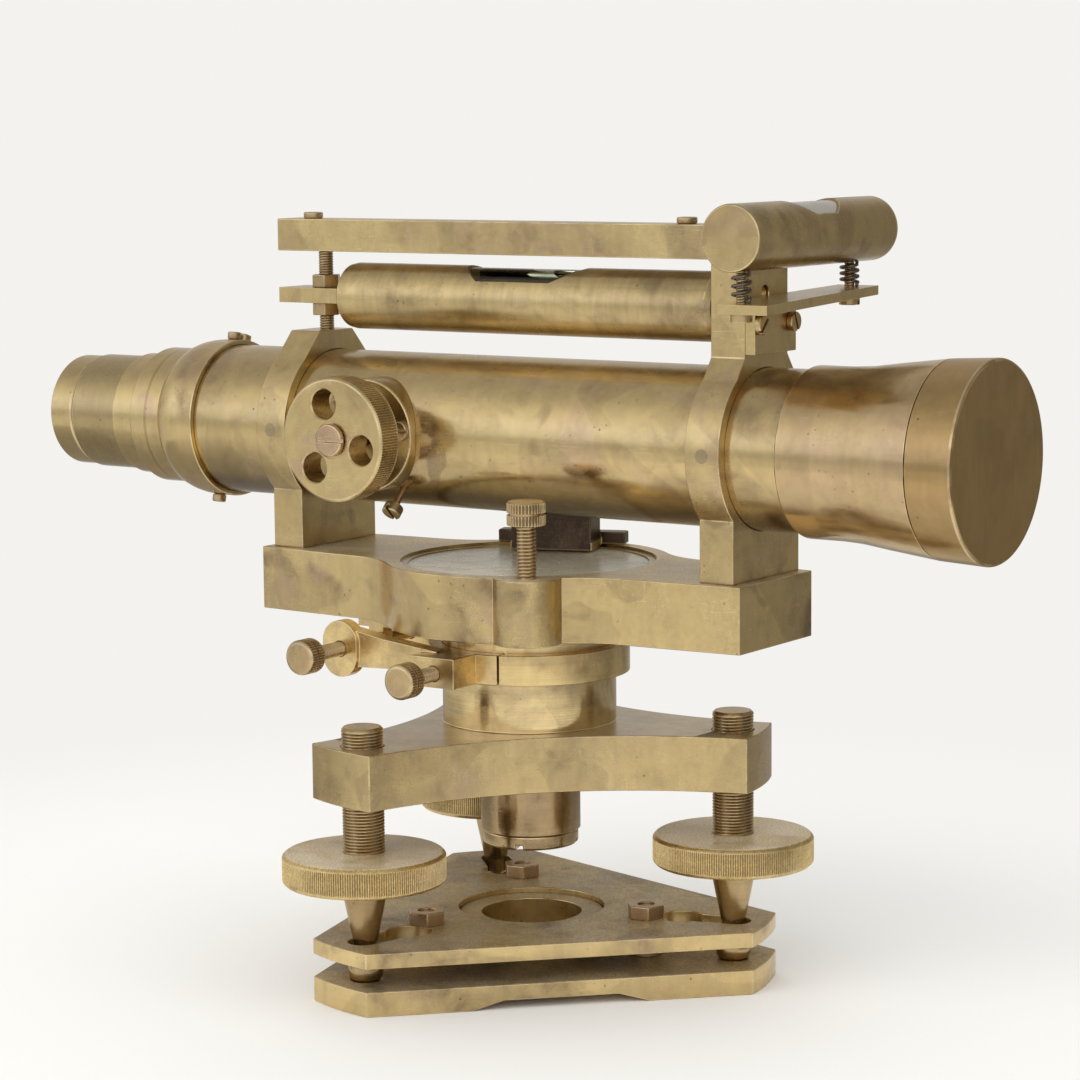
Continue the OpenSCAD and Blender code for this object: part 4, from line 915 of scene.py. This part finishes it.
class LEVEL_OT_telescope(bpy.types.Operator):
    """The telescope's tube, its draw tube and rack, the hood, the object glass and the dust cap"""
    bl_idname = "level.telescope"
    bl_label = "Telescope"

    def execute(self, context):
        f = finishes()
        # under=0.85 paints shade on the tube's underside.
        tube = f.turned("Tube Brass", SCOPE, X, rough=0.15, bloom=0.5, stain=0.75, marks=0.1, sand=0.15, scratches=0.6,
                        pits=0.5, dust=0.25, shift=0.1, under=0.85)
        filed("main_tube", tube, 0.2)
        keep("draw_tube", tube)
        keep("focus_rack", f.screws())
        hood = f.turned("Hood Brass", SCOPE, X, clean="screw", rough=0.15, brown=0.45, bloom=0.35, stain=0.55,
                        marks=0.15, sand=0.1, pits=0.4, dust=0.2, shift=0.5, lift=1.04,
                        rings=((87.0, 97.2, "brass_dark", 0.14, 0.15), (87.2, 87.7, "grime", 0.5, 0.2)))
        filed("objective_hood", hood, 0.2)
        keep("objective_lens", f.glass("Lens Glass"))
        cap = f.turned("Bronzed Cap", SCOPE, X, clean="bronze", coat=0.35, rough=0.17, brown=0.25, bloom=0.15,
                       stain=0.1, marks=0.1, sand=0.1, dust=0.15, pits=0.1, scratches=0.3, shift=0.8)
        filed("dust_cap", cap, 0.3)
        return {"FINISHED"}


class LEVEL_OT_focusing(bpy.types.Operator):
    """The focusing head with its three holes, its screw, the pinion housing and its screws"""
    bl_idname = "level.focusing"
    bl_label = "Focusing"

    def execute(self, context):
        f = finishes()
        face = f.turned("Focus Head Brass", FOCUS, Y, rough=0.26, brown=0.35, bloom=0.6, marks=0.2, sand=0.25, pits=0.6,
                        scratches=0.7, shift=0.35, lift=1.05)
        rows = rounded([(0, -8.0), (15.7, -8.0, 0.3), (16.4, -7.3, 0.25), (16.4, -0.7, 0.25), (15.7, 0.0, 0.3), (0, 0)])
        disc = turned_mesh("focus_knob.disc", rows, mill=(-7.3, -0.7, 16.4, context.scene.level_sizes.focus_milling, 0.30))
        hole = [(0, -9), (4.25, -9), (4.25, -8), (3.9, -7.65), (3.9, -0.35), (4.25, 0.0), (4.25, 1), (0, 1)]
        cutters = []
        for degrees in (-14, 106, 232):
            (across, up), = arc(9.6, degrees, 0, 1)
            cutters.append(turned_mesh("focus_hole", hole, steps=48))
            cutters[-1].transform(stand((FOCUS[0] + across, FOCUS[1], FOCUS[2] + up), (0, -1, 0)))
        counter = turned_mesh("focus_sink", [(0, -0.35), (5.0, -0.35), (5.0, 1), (0, 1)], steps=64)
        bore = turned_mesh("focus_bore", [(0, -9), (2.52, -9), (2.52, 1), (0, 1)], steps=32)
        for mesh in (disc, counter, bore):
            mesh.transform(stand(FOCUS, (0, -1, 0)))
        mesh = cut_out(disc, [*cutters, counter, bore], "focus_knob.milled")
        finish_piece(mesh, "focus_knob.milled", face)
        screw = f.turned("Focus Screw Brass", FOCUS, Y, clean="brass_warm", rough=0.26, brown=0.3, bloom=0.9, marks=0.5,
                         stain=0.3, lift=1.1)
        filed("knob_screw", screw, 0.25)
        keep("focus_pinion", f.steel())
        drum = f.turned("Housing Brass", FOCUS, Y, rough=0.29, brown=0.6, stain=0.6, marks=0.6, shift=0.65)
        filed("pinion_housing", drum, 0.25)
        filed("housing_screws", f.screws(), 0.15)
        # The friction screw is turned a quarter about its own line, so that its slot lies as in the photograph
        mesh = filed_mesh("friction_screw", "friction_screw.filed", 0.18 * MM)
        middle = sum((v.co for v in mesh.vertices), Vector()) / len(mesh.vertices)
        line = middle - Vector((middle.x, 0, SCOPE_Z * MM))
        mesh.transform(Matrix.Translation(middle) @ Matrix.Rotation(math.pi / 2, 4, line) @ Matrix.Translation(-middle))
        finish_piece(mesh, "friction_screw.filed", f.screws())
        return {"FINISHED"}


class LEVEL_OT_eyepiece(bpy.types.Operator):
    """The eye end: mount, diaphragm with its screws, eye tube and lenses"""
    bl_idname = "level.eyepiece"
    bl_label = "Eye end"

    def execute(self, context):
        f = finishes()

        def outside(low, high, radius):
            return lambda c, n: low < c.x < high and math.hypot(c.y, c.z - SCOPE_Z) > radius
        mount = f.turned("Mount Brass", SCOPE, X, rough=0.18, brown=0.6, bloom=0.5, stain=0.9, marks=0.12, pits=0.6,
                         sand=0.1, shift=0.25, lift=1.06)
        # The light band at -130.5 mm is a painted highlight on a step; the two dark lines are seams.
        steps = f.turned("Mount Steps", SCOPE, X, rough=0.17, brown=0.35, bloom=0.6, stain=0.5, marks=0.12, sand=0.06,
                         shift=0.9, rings=((-122.5, -121.9, "grime", 0.55, 0.25), (-130.5, -130.1, "bright", 0.6, 0.2),
                                           (-116.9, -116.3, "brass_dark", 0.4, 0.3)))
        share(filed("eyepiece_mount", mount, 0.22), steps, lambda c, n: c.x < -116.0)
        keep("diaphragm", mount)
        filed("diaphragm_screws", f.screws(), 0.15)
        tube = f.turned("Eye Tube Brass", SCOPE, X, rough=0.17, brown=0.35, bloom=0.6, marks=0.12, sand=0.06, shift=0.75,
                        lift=0.94)
        worn = f.turned("Handled Brass", SCOPE, X, brown=0.75, bloom=0.15, stain=0.7, marks=0.15, sand=0.08, shift=0.15,
                        lift=0.72)
        seam = f.turned("Seam Brass", SCOPE, X, clean="brass_dark", rough=0.4, brown=0.9)
        rows = rounded([(11.8, -151.6), (4.2, -151.6), (4.2, -153.2), (6.0, -155.6), (14.8, -155.6, 0.3), (15.6, -154.8, 0.3),
                        (15.6, -147.7, 0.35), (15.25, -147.3), (15.3, -146.9), (16.1, -146.5, 0.4), (16.1, -130.7, 0.35),
                        (13.2, -130.7), (13.2, -112.0), (11.8, -112.0)])
        piece = turned("eyepiece_tube.turned", rows, SCOPE, X, tube, "turned_brass", steps=144)
        share(piece, worn, outside(-146.3, -130.9, 15.5))
        share(piece, seam, outside(-147.4, -146.8, 15.0))
        keep("eyepiece_lenses", f.glass("Lens Glass"))
        return {"FINISHED"}


def window_glass(name, ends, flat, radius, top, steps=24):
    """The part of a glass that fills a window filed in its tube, along X. ends are the window's four corners along the tube."""
    points, faces = [], []
    widest = math.acos(flat / radius) * 0.999
    for k in range(steps + 1):
        a = -widest + 2 * widest * k / steps
        across, height = radius * math.sin(a), radius * math.cos(a)
        up = (height - flat) / (top - flat)
        left, right = ends[1] + (ends[0] - ends[1]) * up, ends[2] + (ends[3] - ends[2]) * up
        points += [(ends[1], across, flat - 0.6), (left, across, height),
                   (right, across, height), (ends[2], across, flat - 0.6)]
    for k in range(steps):
        a, b = 4 * k, 4 * k + 4
        faces += [(a + j, b + j, b + (j + 1) % 4, a + (j + 1) % 4) for j in range(4)]
    faces += [(0, 1, 2, 3), tuple(4 * steps + j for j in (3, 2, 1, 0))]
    mesh = bpy.data.meshes.new(name)
    mesh.from_pydata(points, [], faces)
    return rework(mesh, face_outward)


def vial(node, middle, length, radius, axis, bubble, reach, window, glass):
    """A glass vial full of spirit, with the bubble as a hollow inside it. bubble is its middle along the axis, from the
    vial's middle. window is (corners along the tube, height of its flat, radius of the glass in it, height of the corners)."""
    name = node + ".glass"
    half = length / 2
    dome = arc(1, 15, 15, 5)
    rows = [(0, -half), *((radius * s, -half + 2.0 * (1 - c)) for c, s in dome), (radius, -half + 2.0),
            (radius, half - 2.0), *((radius * c, half - 2.0 * (1 - s)) for c, s in dome), (0, half)]
    mesh = turned_mesh(name, rows, steps=64)
    mesh.transform(stand(middle, axis))
    fill = window_glass(name + ".fill", *window)
    turn = Matrix.Rotation(math.pi / 2, 4, "Z") if axis[1] else Matrix()
    fill.transform(Matrix.Scale(MM, 4) @ Matrix.Translation((0 if axis[0] else middle[0], 0, middle[2])) @ turn)
    mesh = cut_out(mesh, [fill], name, "UNION")
    around = Vector(middle) + Vector(axis) * bubble + Vector((0, 0, window[2] - 2.3))
    skin = [(0, -reach), *((1.9 * s, -reach * c) for c, s in arc(1, 12, 12, 14)), (0, reach)]
    hollow = turned_mesh(name + ".hollow", skin, steps=32)
    hollow.transform(stand(around, axis))
    hollow.flip_normals()
    rework(mesh, lambda work: work.from_mesh(hollow))
    bpy.data.meshes.remove(hollow)
    piece = finish_piece(mesh, name, glass)
    return share(piece, finishes().bubble(), lambda c, n: (c - around).dot(n) < 0 and (c - around).length < reach + 0.1)


class LEVEL_OT_long_level(bpy.types.Operator):
    """The long level with its vial, its adjusting stud and nuts, and the stay bar above it"""
    bl_idname = "level.long_level"
    bl_label = "Long level"

    def execute(self, context):
        f = finishes()
        sizes = context.scene.level_sizes
        tube = f.turned("Level Tube Brass", (0, 0, LEVEL_Z), X, rough=0.28, brown=0.6, bloom=0.45, stain=0.8, marks=0.45,
                        pits=0.5, scratches=0.7, dust=0.3, shift=0.45)
        piece = filed("level_tube", tube, 0.15)
        share(piece, f.rim(), lambda c, n: -17 < c.x < 20 and c.z > LEVEL_Z + 4.8 and math.hypot(c.y, c.z - LEVEL_Z) < 8.9)
        vial("level_vial", (2.65, 0, LEVEL_Z), 104.3, 6.3, X, 12.2, 5.4, ((-17.5, -11, 12, 20.5), 5.25, 8.4, 9.05),
             f.glass("Vial Glass", f.colours["spirit"], haze=0.02, ior=1.42))
        nut = f.brass("Nut Brass", clean="screw", rough=0.28, brown=0.6, bloom=0.8, dust=0.3, sand=0.35, pits=0.35)
        filed("level_nuts", nut, 0.25)
        stud = f.turned("Stud Brass", (STUD_X, 0, 0), Z, clean="screw", rough=0.32)
        turned("level_stud.threaded", [(0, 165.1), (1.7, 165.1), (2.0, 165.4), (2.0, 194.1), (1.7, 194.4), (0, 194.4)],
               (STUD_X, 0, 0), Z, stud, "screw_brass", steps=40,
               thread=(165.5, 194.0, 2.0, sizes.fine_pitch / MM, 0.26))
        bar = f.brass("Stay Bar Brass", rough=0.27, brown=0.45, bloom=0.45, stain=0.5, dust=0.3, sand=0.3, scratches=0.9,
                      pits=0.3, shift=0.85, lift=1.03)
        filed("stay_bar", bar, 0.3)
        filed("stay_bar_screws", f.screws(), 0.18)
        return {"FINISHED"}


def spring_path(low, high, curls, radius=2.15, wire=0.45, per_curl=28):
    """The middle line of an open spring that starts and ends upright, round the Z axis."""
    count = per_curl * curls
    run = high - low - 4 * wire
    turns = [(*point, low + 2 * wire + run * (k / count))
             for k, point in enumerate(arc(radius, 0, 360 / per_curl, count + 1))]
    return [(radius, 0, low + 0.02), *turns, (radius, 0, high - 0.02)]


class LEVEL_OT_cross_level(bpy.types.Operator):
    """The cross level: tube, vial, bracket, adjusting screws and their two springs"""
    bl_idname = "level.cross_level"
    bl_label = "Cross level"

    def execute(self, context):
        f = finishes()
        tube = f.turned("Cross Tube Brass", (CROSS_X, 0, CROSS_Z), Y, rough=0.22, brown=0.6, bloom=0.35, stain=0.9,
                        marks=0.2, pits=0.5, shift=0.3, lift=1.04,
                        rings=((13.0, 40.9, "brass_dark", 0.35, 5.0), (40.9, 42.5, "bright", 0.55, 0.1)))
        piece = filed("cross_tube", tube, 0.18)
        share(piece, f.rim(), lambda c, n: -3 < c.y < 20 and c.z > CROSS_Z + 4.5 and abs(c.x - CROSS_X) < 7.3
              and math.hypot(c.x - CROSS_X, c.z - CROSS_Z) < 8.25)
        vial("cross_vial", (CROSS_X, 7.0, CROSS_Z), 63.0, 5.9, Y, 1.5, 5.5, ((-4, 3, 13, 21), 4.95, 7.8, 8.4),
             f.glass("Hazy Vial Glass", (0.62, 0.58, 0.52), haze=0.12, ior=1.42, clear=0.5))
        bracket = f.brass("Cross Bracket Brass", rough=0.29, bloom=0.4, stain=0.5, dust=0.35, sand=0.3, scratches=0.8,
                          shift=0.15)
        filed("cross_bracket", bracket, 0.15)
        filed("bracket_screws", f.screws(), 0.15)
        screws = []
        for label, y in SPRINGS.items():
            top = 181.1 + 0.026 * (y - SPRINGS["front"])
            screws.append(self.screw(y, top - 2.4 - 0.06, context.scene.level_sizes.fine_pitch / MM))
            low, high = top + 0.06, CROSS_Z - 8.3 * 0.966 - 0.05
            path = [(CROSS_X + px, y + py, pz) for px, py, pz in spring_path(low, high, 3)]
            name = f"cross_spring_{label}.wire"
            piece = add_object(name, wire_mesh(name, path, 0.45), f.steel())
            if label == "front":
                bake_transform(piece)
            else:
                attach(piece, "upper")
            stand_for(piece)
        finish_piece(joined("cross_screws.threaded", screws), "cross_screws.threaded", f.screws())
        return {"FINISHED"}

    def screw(self, y, under, pitch):
        """An adjusting screw with a slotted head; under is the height of the strip that its head lies against."""
        end = 189.6 - under
        rows = rounded([(0, -2.2), (2.7, -2.2, 0.25), (2.7, 0, 0.25), (1.35, 0), (1.35, end - 0.4), (0.95, end), (0, end)])
        mesh = turned_mesh("cross_screw", rows, steps=40, thread=(0.3, end - 0.2, 1.35, pitch, 0.2))
        slot = bpy.data.meshes.new("slot")
        slot.from_pydata([(a, b, c) for a in (-4, 4) for b in (-0.45, 0.45) for c in (-3.4, -1.1)], [],
                         [(0, 1, 3, 2), (4, 6, 7, 5), (0, 4, 5, 1), (2, 3, 7, 6), (0, 2, 6, 4), (1, 5, 7, 3)])
        mesh = cut_out(mesh, [slot], "cross_screw")
        mesh.transform(Matrix.Scale(MM, 4) @ Matrix.Translation((CROSS_X, y, under)))
        return mesh


# ---------------------------------------------------------------- stage

PLACE, RIGHT, UP, AHEAD = ((0.480389, -0.695219, 0.228128), (0.82545, 0.56440, -0.00905),
                           (-0.06735, 0.11440, 0.99115), (-0.56044, 0.81753, -0.13245))
FRAME_PIXELS, FOCAL_PIXELS, SENSOR = 1080, 3222.86, 36.0
BACKGROUND = (0.905, 0.888, 0.862)


class LEVEL_OT_stage(bpy.types.Operator):
    """The pale floor, the plain studio light and the camera"""
    bl_idname = "level.stage"
    bl_label = "Stage and camera"

    def execute(self, context):
        scene = context.scene
        scene.view_settings.view_transform = "Standard"
        self.floor()
        self.world(scene)
        self.lamp(scene, "Large soft lamp", (-0.25, -1.25, 1.0), 2.4, 1.5, 13.2)
        self.lamp(scene, "Side lamp", (1.5, -0.2, 1.1), 1.0, 1.0, 1.6)
        self.lamp(scene, "Back lamp", (-0.8, 1.3, 1.1), 1.4, 1.0, 2.4)
        camera = bpy.data.objects.new("Camera", bpy.data.cameras.new("Camera"))
        scene.collection.objects.link(camera)
        camera.matrix_world = Matrix(((*RIGHT, 0), (*UP, 0), (*(-v for v in AHEAD), 0), (*PLACE, 1))).transposed()
        camera.data.sensor_width = SENSOR
        camera.data.lens = FOCAL_PIXELS / FRAME_PIXELS * SENSOR
        camera.data.clip_end = 100.0
        scene.camera = camera
        return {"FINISHED"}

    def floor(self):
        """A pale disc that fades into the background, and that bright metal sees as the lit table."""
        mesh = turned_mesh("Floor", [(0, -2), (450, -2), (450, 0), (250, 0), (120, 0), (0, 0)], steps=96)
        mesh.transform(Matrix.Scale(MM, 4) @ Matrix.Translation((0, 0, -0.02)))
        floor = bpy.data.objects.new("Floor", mesh)
        bpy.context.scene.collection.objects.link(floor)
        material = bpy.data.materials.new("Pale Floor")
        material.use_nodes = True
        material.node_tree.nodes.clear()
        net = Net(material.node_tree)
        here = net.put("TexCoord").outputs["Object"]
        away = net.vectors("LENGTH", here)
        far, near = net.between(away, 0.13, 0.38), net.between(away, 0.09, 0.20)
        pale = net.shade((0.90, 0.892, 0.876), net.between(net.noise(here, 900.0, 3.0), 0.3, 0.7, 0.985, 1.0, smooth=False))
        lit = net.put("BsdfDiffuse", {"Color": pale}).outputs[0]
        ray = net.put("LightPath").outputs
        # Glossy rays see the floor lighter in front and darker behind the object: the darker part is painted shade, the
        # lighter a painted reflection of the lit table.
        ahead = net.vectors("DOT_PRODUCT", net.vectors("NORMALIZE", here), (0.40, -0.92, 0.0))
        mirrored = net.mix(net.between(ahead, -0.15, 0.65), (0.33, 0.315, 0.295), (1.02, 0.99, 0.94))
        seen = net.mix(ray["Is Camera Ray"], mirrored, BACKGROUND)
        plain = net.put("Emission", {"Color": seen, "Strength": 1.0}).outputs[0]
        mirrors = net.most(ray["Is Glossy Ray"], ray["Is Transmission Ray"])
        fade = net.plus(net.times(far, ray["Is Camera Ray"]), net.times(near, mirrors))
        net.put("OutputMaterial", {"Surface": net.put("MixShader", {0: fade, 1: lit, 2: plain}).outputs[0]})
        mesh.materials.append(material)

    def world(self, scene):
        """Plain even light, with a studio's bright front and dim back for what reflects."""
        world = bpy.data.worlds.new("Studio")
        world.use_nodes = True
        world.node_tree.nodes.clear()
        net = Net(world.node_tree)
        way = net.put("TexCoord").outputs["Generated"]
        z = net.split(way)["Z"]

        def ramp(stops, tones):
            """Greys by height, each as (place, value), with a tint for values up to 1 and one for brighter values."""
            node = net.put("ValToRGB", {"Fac": net.maths("MULTIPLY_ADD", z, 0.5, 0.5)})
            elements = node.color_ramp.elements
            for k, (at, value) in enumerate(stops):
                green, blue = tones[value > 1]
                stop = elements[k] if k < 2 else elements.new(at)
                stop.position, stop.color = at, (value, value * green, value * blue, 1.0)
            return node.outputs[0]
        front = ramp(((0.0, 0.90), (0.42, 0.80), (0.455, 0.62), (0.495, 0.62), (0.545, 1.02), (0.65, 1.18), (0.76, 1.0),
                      (0.87, 0.62), (1.0, 0.42)), ((0.985, 0.93), (1.02, 1.10)))
        behind = ramp(((0.0, 0.55), (0.50, 0.62), (0.66, 0.55), (1.0, 0.42)), ((0.97, 0.92), (0.97, 0.92)))
        facing = net.between(net.vectors("DOT_PRODUCT", way, (0.163, -0.986, 0.0)), -0.20, 0.55)
        dim = net.between(net.vectors("DOT_PRODUCT", way, (0.766, 0.643, 0.0)), 0.15, 0.75)
        room = net.mix(dim, net.mix(facing, behind, front), (0.28, 0.262, 0.225))
        ray = net.put("LightPath").outputs
        colour = net.mix(net.most(ray["Is Glossy Ray"], ray["Is Transmission Ray"]), (0.90, 0.90, 0.885), room)
        colour = net.mix(ray["Is Camera Ray"], colour, BACKGROUND)
        net.put("OutputWorld", {"Surface": net.put("Background", {"Color": colour, "Strength": 1.0}).outputs[0]})
        scene.world = world

    def lamp(self, scene, name, place, wide, high, power):
        data = bpy.data.lights.new(name, "AREA")
        data.shape, data.size, data.size_y, data.energy = "RECTANGLE", wide, high, power
        data.color = (1.0, 0.985, 0.96)
        lamp = bpy.data.objects.new(name, data)
        lamp.location = place
        lamp.rotation_euler = (Vector((0, 0, 0.10)) - Vector(place)).to_track_quat("-Z", "Y").to_euler()
        lamp.visible_glossy = False
        scene.collection.objects.link(lamp)


STEPS = (
    LEVEL_OT_stage, LEVEL_OT_base_plates, LEVEL_OT_foot_screws, LEVEL_OT_tribrach, LEVEL_OT_limb, LEVEL_OT_compass,
    LEVEL_OT_needle_lift, LEVEL_OT_clamp, LEVEL_OT_supports, LEVEL_OT_telescope, LEVEL_OT_focusing, LEVEL_OT_eyepiece,
    LEVEL_OT_long_level, LEVEL_OT_cross_level,
)


class LEVEL_PT_panel(bpy.types.Panel):
    """Lists the pieces, the sizes and the colours"""
    bl_idname = "LEVEL_PT_panel"
    bl_label = "Brass surveying level"
    bl_space_type = "VIEW_3D"
    bl_region_type = "UI"
    bl_category = "Level"

    def draw(self, context):
        column = self.layout.column(align=True)
        for step in STEPS:
            column.operator(step.bl_idname)
        for title, group_of in (("Sizes", context.scene.level_sizes), ("Colours", context.scene.level_colours)):
            box = self.layout.box()
            box.label(text=title)
            for key in type(group_of).__annotations__:
                box.prop(group_of, key)


CLASSES = (LevelSizes, LevelFinishes, *STEPS, LEVEL_PT_panel)


def register():
    for each in CLASSES:
        bpy.utils.register_class(each)
    bpy.types.Scene.level_sizes = PointerProperty(type=LevelSizes)
    bpy.types.Scene.level_colours = PointerProperty(type=LevelFinishes)


def unregister():
    del bpy.types.Scene.level_colours
    del bpy.types.Scene.level_sizes
    for each in reversed(CLASSES):
        bpy.utils.unregister_class(each)


def main():
    register()
    for step in STEPS:
        family, name = step.bl_idname.split(".")
        getattr(getattr(bpy.ops, family), name)()
    bpy.context.view_layer.update()


if __name__ == "__main__":
    main()
